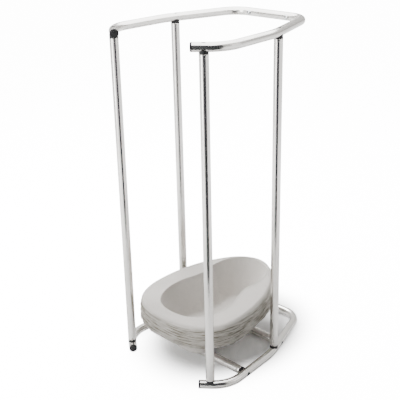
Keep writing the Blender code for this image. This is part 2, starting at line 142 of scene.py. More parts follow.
class FastenerSettings(bpy.types.PropertyGroup):
    """The cap screws and the wall bolts."""

    screw_radius: length("Screw radius", 0.003, "Radius of a cap screw's shank")
    screw_length: length("Screw length", 0.025, "Length of a cap screw under its head")
    head_radius: length("Head radius", 0.005, "Radius of a cap screw's head")
    head_height: length("Head height", 0.006, "Height of a cap screw's head")
    socket_radius: length("Socket radius", 0.0028, "Across the corners of a socket, halved")
    thread_pitch: length("Thread pitch", 0.001, "Distance between two threads of a screw")
    bolt_radius: length("Bolt radius", 0.004, "Radius of a wall bolt's shank")
    bolt_pitch: length("Bolt pitch", 0.00125, "Distance between two threads of a wall bolt")
    bolt_head_radius: length("Bolt head radius", 0.007, "Radius of a wall bolt's domed head")
    bolt_head_height: length("Bolt head height", 0.0045, "Height of a wall bolt's domed head")
    bolt_reach: length("Bolt reach", 0.006, "How far a wall bolt stands out behind its rail")


class PanSettings(bpy.types.PropertyGroup):
    """One moulded-pulp pan."""

    length: length("Length", 0.3969, "Front edge to back edge")
    width: length("Width", 0.3149, "Widest place across")
    height: length("Height", 0.0991, "Underside to rim at the middle")
    wall: length("Wall", 0.0014, "Thickness of the pulp")
    rim_slope: FloatProperty(name="Rim slope", description="Rise of the rim towards the back",
                             default=0.049)
    rim_widest: length("Widest from front", 0.1345, "Front edge to the widest place")
    rim_front_power: FloatProperty(name="Front fullness", default=2.45,
                                   description="Squareness of the front half")
    rim_rear_power: FloatProperty(name="Rear fullness", default=1.9,
                                  description="Squareness of the rear half")
    skirt_depth: length("Skirt depth", 0.016, "Rim to the skirt's lower edge")
    skirt_flare: angle("Skirt flare", 15.0, "Lean of the skirt from upright")
    roll: length("Rim roll", 0.005, "Height of the rolled edge over the skirt")
    front_flange: length("Front flange", 0.0375, "Outer edge to the bowl's mouth at the front")
    side_flange: length("Side flange", 0.06245, "Outer edge to the bowl's mouth at the sides")
    rear_flange: length("Rear flange", 0.019, "Outer edge to the bowl's mouth at the back")
    lobe_from_front: length("Lobe from front", 0.1445, "Front edge to the front lobe's middle")
    waist_pinch: length("Waist pinch", 0.022, "Narrowing of the mouth at its waist, on each side")
    waist_from_rear: length("Waist from rear", 0.1514, "Back edge to the waist")
    rear_lobe_pinch: length("Rear lobe pinch", 0.0165, "Narrowing of the mouth at its rear lobe")
    rear_lobe_from_rear: length("Rear lobe from rear", 0.1154, "Back edge to the rear lobe")
    mouth_front_power: FloatProperty(name="Mouth front fullness", default=2.4,
                                     description="Squareness of the mouth's front end")
    mouth_rear_power: FloatProperty(name="Mouth rear fullness", default=2.15,
                                    description="Squareness of the mouth's rear end")
    bowl_draft: length("Bowl draft", 0.036, "How far the bowl's foot lies inside its mouth")
    floor_round: length("Floor round", 0.012, "Size of the round between floor and wall")
    lip_rise: length("Lip rise", 0.0013, "Height of the lip round the mouth")
    lip_width: length("Lip width", 0.003, "Mouth to the crest of its lip")
    ragged: length("Raggedness", 0.0014, "Unevenness of the skirt's torn lower edge")
    curl: length("Curl", 0.0022, "How far the skirt's lower edge curls outwards")
    steps: IntProperty(name="Steps", description="Facets round a pan", default=448, min=32)


class FinishSettings(bpy.types.PropertyGroup):
    """Base colours of the finishes."""

    steel: colour("Steel", (0.67, 0.655, 0.63), "Satin polished stainless tube")
    nylon: colour("Nylon", (0.014, 0.014, 0.015), "Matt black nylon")
    zinc: colour("Zinc", (0.60, 0.61, 0.61), "Bright zinc plate")
    brass: colour("Brass", (0.72, 0.55, 0.26), "Machined brass")
    pulp: colour("Pulp", (0.535, 0.510, 0.480), "Pressed face of the pulp")
    # Painted shade: a dark colour laid on the skirts where the nested pans shade each other.
    torn_pulp: colour("Torn pulp", (0.165, 0.153, 0.122), "Torn and trimmed edges of the pulp")


class StudioSettings(bpy.types.PropertyGroup):
    """Camera, lights and floor."""

    camera_place: FloatVectorProperty(name="Camera place", description="Where the camera stands",
                                      default=(1.2808, -1.4219, 1.2161), unit="LENGTH")
    camera_azimuth: angle("Camera azimuth", 42.614, "Heading of the camera round the rack")
    camera_elevation: angle("Camera elevation", 21.472, "How far the camera looks down")
    camera_roll: angle("Camera roll", -1.009, "Turn of the camera about its line of sight")
    lens: FloatProperty(name="Lens", description="Focal length in millimetres", default=71.05)
    shift_x: FloatProperty(name="Shift across", description="Lens shift", default=-0.0258)
    shift_y: FloatProperty(name="Shift up", description="Lens shift", default=-0.0448)
    floor_size: length("Floor size", 60.0, "Side of the floor")
    show_cards: BoolProperty(name="Cards", default=True,
                             description="Put a dark and a bright card in the reflections")


SETTINGS = {
    "rack_tube": TubeSettings,
    "rack_plastic": PlasticSettings,
    "rack_fasteners": FastenerSettings,
    "rack_pan": PanSettings,
    "rack_finish": FinishSettings,
    "rack_studio": StudioSettings,
}


def settings(name):
    """Return one of the scene's groups of settings."""
    return getattr(bpy.context.scene, name)


# Meshes and objects

def add_piece(name, mesh):
    """Put a mesh in the scene as an object at the origin."""
    item = bpy.data.objects.new(name, mesh)
    bpy.context.scene.collection.objects.link(item)
    return item


def flatten(item):
    """Turn the item and its modifiers into a plain mesh."""
    evaluated = item.evaluated_get(bpy.context.evaluated_depsgraph_get())
    mesh = bpy.data.meshes.new_from_object(evaluated)
    item.modifiers.clear()
    item.data = mesh
    return item


def clean(item, merge=2e-6):
    """Merge the doubles of a plain mesh and point its faces outwards."""
    shape = bmesh.new()
    shape.from_mesh(item.data)
    bmesh.ops.remove_doubles(shape, verts=shape.verts[:], dist=merge)
    bmesh.ops.dissolve_degenerate(shape, edges=shape.edges[:], dist=merge)
    bmesh.ops.recalc_face_normals(shape, faces=shape.faces[:])
    shape.to_mesh(item.data)
    shape.free()
    return item


def finish_piece(item, slot, body, *nodes, crease=35.0):
    """Shade a piece, give it its finish, put it on its body and let it stand for CAD nodes."""
    item.data.materials.clear()
    item.data.materials.append(material(slot))
    item.data.polygons.foreach_set("material_index", [0] * len(item.data.polygons))
    item.data.shade_smooth()
    item.data.set_sharp_from_angle(angle=math.radians(crease))
    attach(item, body)
    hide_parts(*nodes)
    return item


def frame_along(origin, axis, across=UP):
    """Return the placement whose Z runs along axis, with X as near to across as can be."""
    along = axis.normalized()
    side = (across - along * across.dot(along)).normalized()
    turn = Matrix((side, along.cross(side), along)).transposed()
    return Matrix.Translation(origin) @ turn.to_4x4()


def turned(name, profile, sides, arc=0.0):
    """Turn a closed profile of (radius, height) points about Z, with its corners rounded by arc."""
    points = rounded(profile, arc) if arc else profile
    shape = bmesh.new()
    corners = [shape.verts.new((radius, 0.0, height)) for radius, height in points]
    closed = points[0][0] > 0
    for first, second in zip(corners, corners[1:] + corners[:1] * closed):
        shape.edges.new((first, second))
    bmesh.ops.spin(shape, geom=shape.verts[:] + shape.edges[:], axis=(0, 0, 1), cent=(0, 0, 0),
                   angle=2 * math.pi, steps=sides, use_merge=True)
    mesh = bpy.data.meshes.new(name)
    shape.to_mesh(mesh)
    shape.free()
    return clean(add_piece(name, mesh))


def rounded(profile, arc, steps=3):
    """Round each corner of a profile that lies off the axis by a short quadratic curve."""
    points = []
    count = len(profile)
    most_of_side = 0.4
    for index, (radius, height) in enumerate(profile):
        here = Vector((radius, height))
        before = Vector(profile[index - 1]) - here
        after = Vector(profile[(index + 1) % count]) - here
        if radius <= 0:
            points.append((radius, height))
            continue
        reach = min(arc, most_of_side * before.length, most_of_side * after.length)
        start, end = here + before.normalized() * reach, here + after.normalized() * reach
        for step in range(steps + 1):
            share = step / steps
            point = start.lerp(here, share).lerp(here.lerp(end, share), share)
            points.append((point.x, point.y))
    return points


def subtract(item, cutter):
    """Cut one item with another, which is then removed."""
    boolean = item.modifiers.new("cut", "BOOLEAN")
    boolean.operation = "DIFFERENCE"
    boolean.solver = "EXACT"
    boolean.object = cutter
    flatten(item)
    bpy.data.objects.remove(cutter)
    return item


def point_cloud(name, placements, stretches=None):
    """Make a mesh of bare points that carry each placement's turn and stretch."""
    mesh = bpy.data.meshes.new(name)
    mesh.from_pydata([placement.translation for placement in placements], [], [])
    turns = mesh.attributes.new("turn", "FLOAT_VECTOR", "POINT")
    sizes = mesh.attributes.new("stretch", "FLOAT_VECTOR", "POINT")
    for index, placement in enumerate(placements):
        turns.data[index].vector = placement.to_euler()
        sizes.data[index].vector = stretches[index] if stretches else (1.0, 1.0, 1.0)
    return add_piece(name, mesh)


# Geometry Nodes

def node_group(name, tree_kind, inputs, outputs):
    """Start a node group with named sockets, and return it with its two end nodes."""
    group = bpy.data.node_groups.new(name, tree_kind)
    for socket_name, kind, value in inputs:
        socket = group.interface.new_socket(socket_name, in_out="INPUT", socket_type=kind)
        if value is not None:
            socket.default_value = value
    for socket_name, kind in outputs:
        group.interface.new_socket(socket_name, in_out="OUTPUT", socket_type=kind)
    return group, group.nodes.new("NodeGroupInput"), group.nodes.new("NodeGroupOutput")


def geometry_tree(name, inputs):
    """Start a geometry tree with named inputs, and return it with its two end nodes."""
    return node_group(name, "GeometryNodeTree", (("Geometry", "NodeSocketGeometry", None), *inputs),
                      (("Geometry", "NodeSocketGeometry"),))


def add_node(tree, kind, links=(), values=(), **options):
    """Add a node, set its options and values, and link (input, output socket) pairs to it."""
    node = tree.nodes.new(kind)
    for option, value in options.items():
        setattr(node, option, value)
    for socket, value in dict(values).items():
        node.inputs[socket].default_value = value
    for socket, source in dict(links).items():
        tree.links.new(source, node.inputs[socket])
    return node


def read_attribute(tree, name, kind):
    """Read an attribute of the geometry by its name."""
    return add_node(tree, "GeometryNodeInputNamedAttribute", values={"Name": name},
                    data_type=kind).outputs[0]


def keep_attribute(tree, geometry, name, kind, value):
    """Keep a value on each point of the geometry under a name."""
    return add_node(tree, "GeometryNodeStoreNamedAttribute",
                    {"Geometry": geometry, "Value": value}, {"Name": name},
                    data_type=kind, domain="POINT").outputs[0]


def end_tree(tree, given, wanted, geometry):
    """End a tree in Realize Instances and Set Material."""
    real = add_node(tree, "GeometryNodeRealizeInstances", {"Geometry": geometry})
    painted = add_node(tree, "GeometryNodeSetMaterial",
                       {"Geometry": real.outputs[0], "Material": given.outputs["Finish"]})
    tree.links.new(painted.outputs[0], wanted.inputs["Geometry"])
    return tree


def bent_tube_tree():
    """Sweep a circle along a line of edges.

    Each point keeps its place on the tube in the attribute tube_place: the place on the
    circle in X and Y and the distance along the tube in Z.
    """
    if "bent_tube" in bpy.data.node_groups:
        return bpy.data.node_groups["bent_tube"]
    tree, given, wanted = geometry_tree("bent_tube", (
        ("Radius", "NodeSocketFloat", 0.011),
        ("Sides", "NodeSocketInt", 48),
        ("Finish", "NodeSocketMaterial", None),
    ))
    line = add_node(tree, "GeometryNodeMeshToCurve", {"Mesh": given.outputs["Geometry"]})
    parameter = add_node(tree, "GeometryNodeSplineParameter")
    measured = keep_attribute(tree, line.outputs[0], "distance", "FLOAT",
                              parameter.outputs["Length"])
    circle = add_node(tree, "GeometryNodeCurvePrimitiveCircle",
                      {"Resolution": given.outputs["Sides"], "Radius": given.outputs["Radius"]})
    place = add_node(tree, "GeometryNodeInputPosition")
    ring = keep_attribute(tree, circle.outputs["Curve"], "ring_place", "FLOAT_VECTOR",
                          place.outputs[0])
    swept = add_node(tree, "GeometryNodeCurveToMesh",
                     {"Curve": measured, "Profile Curve": ring,
                      "Scale": read_attribute(tree, "swell", "FLOAT")})
    around = read_attribute(tree, "ring_place", "FLOAT_VECTOR")
    lifted = add_node(tree, "ShaderNodeCombineXYZ",
                      {"Z": read_attribute(tree, "distance", "FLOAT")})
    joined = add_node(tree, "ShaderNodeVectorMath", {0: around, 1: lifted.outputs[0]},
                      operation="ADD")
    marked = keep_attribute(tree, swept.outputs[0], "tube_place", "FLOAT_VECTOR", joined.outputs[0])
    return end_tree(tree, given, wanted, marked)


def placed_copies_tree():
    """Put a copy of a pattern on each point, with the point's turn and stretch."""
    if "placed_copies" in bpy.data.node_groups:
        return bpy.data.node_groups["placed_copies"]
    tree, given, wanted = geometry_tree("placed_copies", (
        ("Pattern", "NodeSocketObject", None),
        ("Finish", "NodeSocketMaterial", None),
    ))
    pattern = add_node(tree, "GeometryNodeObjectInfo", {"Object": given.outputs["Pattern"]},
                       {"As Instance": True})
    rotation = add_node(tree, "FunctionNodeEulerToRotation",
                        {"Euler": read_attribute(tree, "turn", "FLOAT_VECTOR")})
    placed = add_node(tree, "GeometryNodeInstanceOnPoints",
                      {"Points": given.outputs["Geometry"], "Instance": pattern.outputs["Geometry"],
                       "Rotation": rotation.outputs[0],
                       "Scale": read_attribute(tree, "stretch", "FLOAT_VECTOR")})
    return end_tree(tree, given, wanted, placed.outputs[0])


def run_tree(item, tree, **values):
    """Run a geometry tree on an item and keep the result as its plain mesh."""
    modifier = item.modifiers.new(tree.name, "NODES")
    modifier.node_group = tree
    identifiers = {socket.name.lower(): socket.identifier for socket in tree.interface.items_tree
                   if socket.in_out == "INPUT"}
    for name, value in values.items():
        modifier[identifiers[name]] = value
    return flatten(item)


def copies(name, pattern, placements, slot, stretches=None):
    """Make one mesh of a pattern's copies, and remove the pattern."""
    item = point_cloud(name, placements, stretches)
    run_tree(item, placed_copies_tree(), pattern=pattern, finish=material(slot))
    bpy.data.objects.remove(pattern)
    return item


def swept_tube(name, points, swells, slot):
    """Sweep a tube along a line of points, give it its wall, and mark its inner face as bore, where
    the steel finish paints shade.
    """
    tube = settings("rack_tube")
    mesh = bpy.data.meshes.new(name)
    mesh.from_pydata(points, [(index, index + 1) for index in range(len(points) - 1)], [])
    swell = mesh.attributes.new("swell", "FLOAT", "POINT")
    swell.data.foreach_set("value", swells)
    item = add_piece(name, mesh)
    run_tree(item, bent_tube_tree(), radius=tube.radius, sides=tube.sides, finish=material(slot))
    clean(item)
    wall = item.modifiers.new("wall", "SOLIDIFY")
    wall.thickness = tube.wall
    wall.offset = -1.0
    outside_count = len(item.data.vertices)
    flatten(item)
    bore = np.ones(len(item.data.vertices))
    bore[:outside_count] = 0.0
    item.data.attributes.new("bore", "FLOAT", "POINT").data.foreach_set("value", bore)
    return item


def drill(item, holes):
    """Cut round holes, given as (placement, radius, near end, far end), in a piece."""
    unit = turned("drill_pattern", [(0.0, 0.5), (0.0, -0.5), (1.0, -0.5), (1.0, 0.5)], sides=32)
    placements, stretches = [], []
    for placement, radius, near, far in holes:
        placements.append(placement @ Matrix.Translation((0, 0, (near + far) / 2)))
        stretches.append((radius, radius, far - near))
    cutter = copies("drill", unit, placements, "stainless_tube", stretches)
    clean(cutter)
    subtract(item, cutter)


# Routes and places

def bend(before, corner, after, radius, steps):
    """Return the points of the arc that rounds a corner."""
    arriving = (corner - before).normalized()
    leaving = (after - corner).normalized()
    turn = arriving.angle(leaving)
    start = corner - arriving * radius * math.tan(turn / 2)
    inward = (leaving - arriving * arriving.dot(leaving)).normalized()
    centre = start + inward * radius
    angles = [turn * step / steps for step in range(steps + 1)]
    return [centre - inward * radius * math.cos(a) + arriving * radius * math.sin(a)
            for a in angles]


def mirrored(point):
    """Return the point on the other side of the plane of symmetry."""
    return Vector((-point.x, point.y, point.z))


def rail_half():
    """Return the right half of a rail's centreline at height zero, from its open end."""
    tube = settings("rack_tube")
    low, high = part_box("top_rail")
    cap_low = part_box("cap_top_right")[0]
    rear_y = high.y - tube.radius
    run = tube.end_stretch * Vector((math.cos(tube.end_angle), math.sin(tube.end_angle), 0.0))
    end_y = low.y + tube.radius * math.cos(tube.end_angle)
    shoulder = Vector((tube.shoulder_half_width, end_y + run.y, 0.0))
    end = shoulder - run
    kink = Vector((shoulder.x - tube.kink_inset, rear_y - tube.kink_from_rear, 0.0))
    corner = Vector((shoulder.x - tube.corner_inset, rear_y, 0.0))
    middle = Vector((0.0, rear_y, 0.0))
    assert cap_low.y < end.y < shoulder.y < kink.y < corner.y
    return [end, *bend(end, shoulder, kink, tube.shoulder_radius, steps=18),
            *bend(shoulder, kink, corner, tube.kink_radius, steps=12),
            *bend(kink, corner, middle, tube.corner_radius, steps=20)]


def rail_direction(place):
    """Return the rail's direction at the side nearest to a place."""
    half = rail_half()
    flat = Vector((abs(place.x), place.y, 0.0))
    nearest = min(range(len(half) - 1),
                  key=lambda index: ((half[index] + half[index + 1]) / 2 - flat).length
                  - (half[index + 1] - half[index]).length / 2)
    direction = (half[nearest + 1] - half[nearest]).normalized()
    return direction if place.x > 0 else mirrored(direction)


def middle_of(node):
    """Return the middle of a CAD node's box."""
    low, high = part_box(node)
    return (low + high) / 2


def rail_height(level):
    """Return the height of a rail's axis."""
    return middle_of(level + "_rail").z


def rail_point(place, level, direction):
    """Return the point of a rail's axis that a tube at place runs into along a direction."""
    half = rail_half()
    if abs(direction.z) > 0.5:
        return Vector((place.x, place.y, rail_height(level)))
    for first, second in zip(half, half[1:]):
        if first.y <= place.y <= second.y:
            across = first.lerp(second, (place.y - first.y) / (second.y - first.y)).x
            return Vector((math.copysign(across, -direction.x), place.y, rail_height(level)))
    raise ValueError("the rail does not reach this far")


def joint_placement(joint):
    """Return the placement of a joint: on the rail's axis, with Z running into the tube."""
    if joint.startswith("bar_"):
        bar, side = joint.split("_")[1:]
        inward = Vector((-1.0 if side == "right" else 1.0, 0.0, 0.0))
        place = rail_point(middle_of("cross_bar_" + bar), "base", inward)
        return frame_along(place, inward)
    post, level = joint.rsplit("_", 1)
    upward = UP if level == "base" else -UP
    place = rail_point(middle_of("post_" + post), level, upward)
    return frame_along(place, upward, rail_direction(place))


def tube_end(joint):
    """Return how far from the rail's axis the tube of a joint ends."""
    placement = joint_placement(joint)
    if joint.startswith("bar_"):
        node = "cross_bar_" + joint.split("_")[1]
    else:
        node = "post_" + joint.rsplit("_", 1)[0]
    axis = placement.col[2].to_3d()
    return min((corner - placement.translation).dot(axis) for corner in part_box(node))


def bolt_placement(side):
    """Return the placement of a wall bolt: on the rail's axis, with Z towards its head."""
    low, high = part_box("wall_bolt_" + side)
    rail_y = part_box("top_rail")[1].y - settings("rack_tube").radius
    place = Vector(((low.x + high.x) / 2, rail_y, rail_height("top")))
    return frame_along(place, Vector((0, -1, 0)))


# The pans' surface

def superellipse_quarter(half_width, reach, power, steps):
    """Return (x, distance from the widest place) from the tip of an oval to its widest place."""
    angles = [math.pi / 2 * step / steps for step in range(steps + 1)]
    return [(half_width * math.sin(a) ** (2 / power), reach * math.cos(a) ** (2 / power))
            for a in angles]


def even_steps(points, count):
    """Return count + 1 points at even distances along a line of points."""
    points = np.array(points)
    distances = np.concatenate([[0.0], np.cumsum(np.linalg.norm(np.diff(points, axis=0), axis=1))])
    wanted = np.linspace(0.0, distances[-1], count + 1)
    return np.stack([np.interp(wanted, distances, points[:, axis]) for axis in (0, 1)], axis=1)


def mouth_half(pan, count):
    """Return the right half of the bowl's pear-shaped mouth, front to back."""
    fine = 200
    lobe = pan.width / 2 - pan.side_flange
    waist = lobe - pan.waist_pinch
    rear_lobe = lobe - pan.rear_lobe_pinch
    waist_y = pan.length - pan.waist_from_rear
    rear_y = pan.length - pan.rear_lobe_from_rear
    nose = superellipse_quarter(lobe, pan.lobe_from_front - pan.front_flange,
                                pan.mouth_front_power, fine)
    outline = [(x, pan.lobe_from_front - y) for x, y in nose]
    for from_x, from_y, to_x, to_y in ((lobe, pan.lobe_from_front, waist, waist_y),
                                       (waist, waist_y, rear_lobe, rear_y)):
        for step in range(1, fine + 1):
            share = step / fine
            ease = (1 - math.cos(math.pi * share)) / 2
            outline.append((from_x + (to_x - from_x) * ease, from_y + (to_y - from_y) * share))
    tail = superellipse_quarter(rear_lobe, pan.rear_lobe_from_rear - pan.rear_flange,
                                pan.mouth_rear_power, fine)
    outline += [(x, rear_y + y) for x, y in reversed(tail[:-1])]
    return even_steps(outline, count)


def rim_half(pan, mouth):
    """Return the right half of the pan's outer edge, one point for each point of the mouth."""
    ys = (mouth[:, 1] - mouth[0, 1]) * pan.length / (mouth[-1, 1] - mouth[0, 1])
    front = ys < pan.rim_widest
    share = np.where(front, 1 - ys / pan.rim_widest,
                     (ys - pan.rim_widest) / (pan.length - pan.rim_widest))
    power = np.where(front, pan.rim_front_power, pan.rim_rear_power)
    fill = np.clip(1 - np.clip(share, 0, None) ** power, 0, None) ** (1 / power)
    return np.stack([pan.width / 2 * fill, ys], axis=1)


def whole(half):
    """Return the closed outline, round from the front tip, that a right half belongs to."""
    left = half[-2:0:-1] * (-1.0, 1.0)
    return np.concatenate([half, left])


def shifted(outline, distance):
    """Move a closed outline outwards."""
    tangent = np.roll(outline, -1, axis=0) - np.roll(outline, 1, axis=0)
    tangent /= np.linalg.norm(tangent, axis=1)[:, None]
    outward = np.stack([tangent[:, 1], -tangent[:, 0]], axis=1)
    return outline + outward * np.broadcast_to(distance, len(outline))[:, None]


def pan_rings(pan):
    """Return the control rings of a pan's upper face, from its floor out to its skirt's edge."""
    mouth_side = mouth_half(pan, pan.steps // 2)
    mouth, edge = whole(mouth_side), whole(rim_half(pan, mouth_side))
    flare = math.tan(pan.skirt_flare)
    skirt_top = -(pan.skirt_depth - pan.roll) * flare
    room = np.linalg.norm(edge - mouth, axis=1) + skirt_top
    full_room, least_share = 0.024, 0.45
    narrow = np.clip(room / full_room, least_share, 1.0)
    crest = pan.lip_width * narrow
    flange_start = shifted(mouth, 2.9 * crest)
    flange_end = shifted(edge, skirt_top - 0.0130 * narrow)

    def level(outline, height):
        return np.column_stack([outline, np.full(len(outline), height)])

    def at_rim(outline, drop):
        heights = pan.height + pan.rim_slope * (outline[:, 1] - pan.length / 2) - drop
        return np.column_stack([outline, heights])

    def draft(height):
        return -pan.bowl_draft * (1 - height / pan.height)

    corner, top = 0.2 * pan.floor_round, 0.7 * pan.floor_round
    foot = level(shifted(mouth, draft(top)), pan.wall + top)
    under_lip = 0.0024
    lip = at_rim(mouth, under_lip)
    wall_shares = (0.33, 0.67, 0.94)
    # Drop below the rim and distance inside the flared line, ring by ring
    skirt = [(0.0054, 0.0016), (0.0085, 0.0), (0.0115, 0.0), (0.0137, 0.0), (0.0150, 0.0),
             (pan.skirt_depth, 0.0)]
    return [
        # Floor and its round
        level(shifted(mouth, -pan.bowl_draft - pan.floor_round), pan.wall),
        level(shifted(mouth, -pan.bowl_draft - 0.35 * pan.floor_round), pan.wall + 0.0002),
        level(shifted(mouth, draft(corner) - 0.0008), pan.wall + corner),
        # Bowl wall
        foot,
        *[foot + share * (lip - foot) for share in wall_shares],
        lip,
        # Lip round the mouth
        at_rim(shifted(mouth, 0.0007), 0.0002),
        at_rim(shifted(mouth, 0.8 * crest), -pan.lip_rise),
        at_rim(shifted(mouth, 1.9 * crest), -0.0001),
        # Flange and its rolled outer edge
        at_rim(flange_start, 0.0002),
        at_rim((flange_start + flange_end) / 2, 0.0002),
        at_rim(flange_end, 0.0004),
        at_rim(shifted(edge, skirt_top - 0.0055 * narrow), 0.0013),
        # Skirt
        *[at_rim(shifted(edge, -(pan.skirt_depth - drop) * flare - inset), drop)
          for drop, inset in skirt],
    ]


# Rows of faces from each ring of pan_rings to the next; the last five steps make the skirt
ROW_STEPS = (1, 2, 2, 4, 4, 3, 2, 2, 3, 3, 2, 3, 3, 3, 3, 3, 2, 2, 2, 2)
SKIRT_ROWS = sum(ROW_STEPS[-5:])


def loft(rings, steps):
    """Return the rows of a smooth surface through rings of points."""
    gaps = [np.linalg.norm(b - a, axis=1).mean() for a, b in zip(rings, rings[1:])]
    slopes = [(b - a) / gap for a, b, gap in zip(rings, rings[1:], gaps)]
    tangents = [slopes[0]]
    for index in range(1, len(rings) - 1):
        before, after = gaps[index - 1], gaps[index]
        tangents.append((slopes[index - 1] * after + slopes[index] * before) / (before + after))
    tangents.append(slopes[-1])
    rows = [rings[0]]
    for index, count in enumerate(steps):
        start, end, gap = rings[index], rings[index + 1], gaps[index]
        for step in range(1, count + 1):
            t = step / count
            rows.append((2 * t ** 3 - 3 * t ** 2 + 1) * start + (3 * t ** 2 - 2 * t ** 3) * end
                        + (t ** 3 - 2 * t ** 2 + t) * gap * tangents[index]
                        + (t ** 3 - t ** 2) * gap * tangents[index + 1])
    return rows


# Unevenness of the skirts as (grain size, height) pairs, and what sets their seeds apart
TEAR_GRAINS = ((0.045, 1.2), (0.009, 0.8), (0.0035, 0.5))
NICK_GRAINS = ((0.012, 1.0),)
CURL_GRAINS = ((0.040, 1.7), (0.007, 0.8))
NICK_SEED, CURL_SEED = 31.7, 11.3


def unevenness(ring, seed, grains):
    """Return noise round a ring, summed over (grain size, height) pairs."""
    total = np.zeros(len(ring))
    for grain, height in grains:
        total += height * np.array([noise.noise(Vector((x / grain, y / grain, seed)))
                                    for x, y, _ in ring])
    return total


def tear_skirt(pan, rows, seed):
    """Make the skirt's lower edge uneven, with nicks, and let it curl outwards here and there."""
    edge = rows[-1]
    outward = shifted(edge[:, :2], 1.0) - edge[:, :2]
    drop = unevenness(edge, seed, TEAR_GRAINS) * pan.ragged
    nick_start, nick_depth = 0.32, 0.006
    nick = unevenness(edge, seed + NICK_SEED, NICK_GRAINS) - nick_start
    nick = np.clip(nick, 0, None) * nick_depth
    mean_curl, most_curl = 0.40, 2.2
    curl = mean_curl + unevenness(edge, seed + CURL_SEED, CURL_GRAINS)
    curl = np.clip(curl, 0, most_curl) * pan.curl
    for index in range(SKIRT_ROWS + 1):
        share = index / SKIRT_ROWS
        row = rows[len(rows) - 1 - SKIRT_ROWS + index]
        row[:, 2] += (drop + nick) * share ** 1.5
        row[:, :2] += outward * (curl * share ** 2.4)[:, None]


def pan_mesh(pan, name, seed):
    """Make the upper face of a pan, closed at its floor."""
    rows = loft(pan_rings(pan), ROW_STEPS)
    tear_skirt(pan, rows, seed)
    count = len(rows[0])
    middle = rows[0].mean(axis=0)
    floor_shares = (0.3, 0.6, 0.82)
    rows = [middle + (rows[0] - middle) * share for share in floor_shares] + rows
    points = np.concatenate([middle[None], *rows])
    points[:, 1] -= pan.length / 2
    following = [(column + 1) % count for column in range(count)]
    faces = [(0, 1 + column, 1 + following[column]) for column in range(count)]
    for row in range(len(rows) - 1):
        first, second = 1 + row * count, 1 + (row + 1) * count
        faces += [(first + column, second + column, second + following[column],
                   first + following[column]) for column in range(count)]
    mesh = bpy.data.meshes.new(name)
    mesh.from_pydata(points.tolist(), [], faces)
    # Share of painted shade on each skirt row, and a little on the row just above the skirt.
    skirt_shade = np.zeros(len(points))
    for index in range(SKIRT_ROWS + 2):
        start = len(points) - (SKIRT_ROWS + 2 - index) * count
        skirt_shade[start:start + count] = skirt_shade_share((index - 1) / SKIRT_ROWS)
    mesh.attributes.new("skirt_shade", "FLOAT", "POINT").data.foreach_set("value", skirt_shade)
    return mesh


def skirt_shade_share(depth):
    """Return the share of painted shade at a depth down the skirt: 0.15 above it, 0.3 at its top
    and its edge, and 1 about two thirds of the way down.
    """
    above_skirt, least = 0.15, 0.3
    return above_skirt if depth < 0 else least + (1 - least) * math.sin(math.pi * depth ** 1.6)


# Shader groups

def mask_group(name, inputs):
    """Start a shader group that puts out a mask between a low and a high level of noise."""
    return node_group(name, "ShaderNodeTree", (
        ("Vector", "NodeSocketVector", None), *inputs, ("Low", "NodeSocketFloat", 0.35),
        ("High", "NodeSocketFloat", 0.65)), (("Mask", "NodeSocketFloat"),))


def end_mask(group, given, wanted, cloud):
    """End a shader group in a mask that rises smoothly with its noise."""
    mask = add_node(group, "ShaderNodeMapRange",
                    {"Value": cloud.outputs["Fac"], "From Min": given.outputs["Low"],
                     "From Max": given.outputs["High"]}, interpolation_type="SMOOTHSTEP")
    group.links.new(mask.outputs["Result"], wanted.inputs["Mask"])
    return group


def mottle_group():
    """Patches of noise between two levels, as a mask."""
    if "mottle" in bpy.data.node_groups:
        return bpy.data.node_groups["mottle"]
    group, given, wanted = mask_group("mottle", (
        ("Scale", "NodeSocketFloat", 20.0), ("Detail", "NodeSocketFloat", 3.0)))
    cloud = add_node(group, "ShaderNodeTexNoise",
                     {name: given.outputs[name] for name in ("Vector", "Scale", "Detail")})
    return end_mask(group, given, wanted, cloud)


def strands_group():
    """Noise drawn out along one direction, as a mask of thin strands."""
    if "strands" in bpy.data.node_groups:
        return bpy.data.node_groups["strands"]
    group, given, wanted = mask_group("strands", (
        ("Turn", "NodeSocketVector", None), ("Stretch", "NodeSocketVector", (1.0, 1.0, 1.0))))
    placed = add_node(group, "ShaderNodeVectorRotate",
                      {"Vector": given.outputs["Vector"], "Rotation": given.outputs["Turn"]},
                      rotation_type="EULER_XYZ")
    drawn = add_node(group, "ShaderNodeVectorMath",
                     {0: placed.outputs[0], 1: given.outputs["Stretch"]}, operation="MULTIPLY")
    cloud = add_node(group, "ShaderNodeTexNoise", {"Vector": drawn.outputs[0]},
                     {"Scale": 1.0, "Detail": 2.0})
    return end_mask(group, given, wanted, cloud)


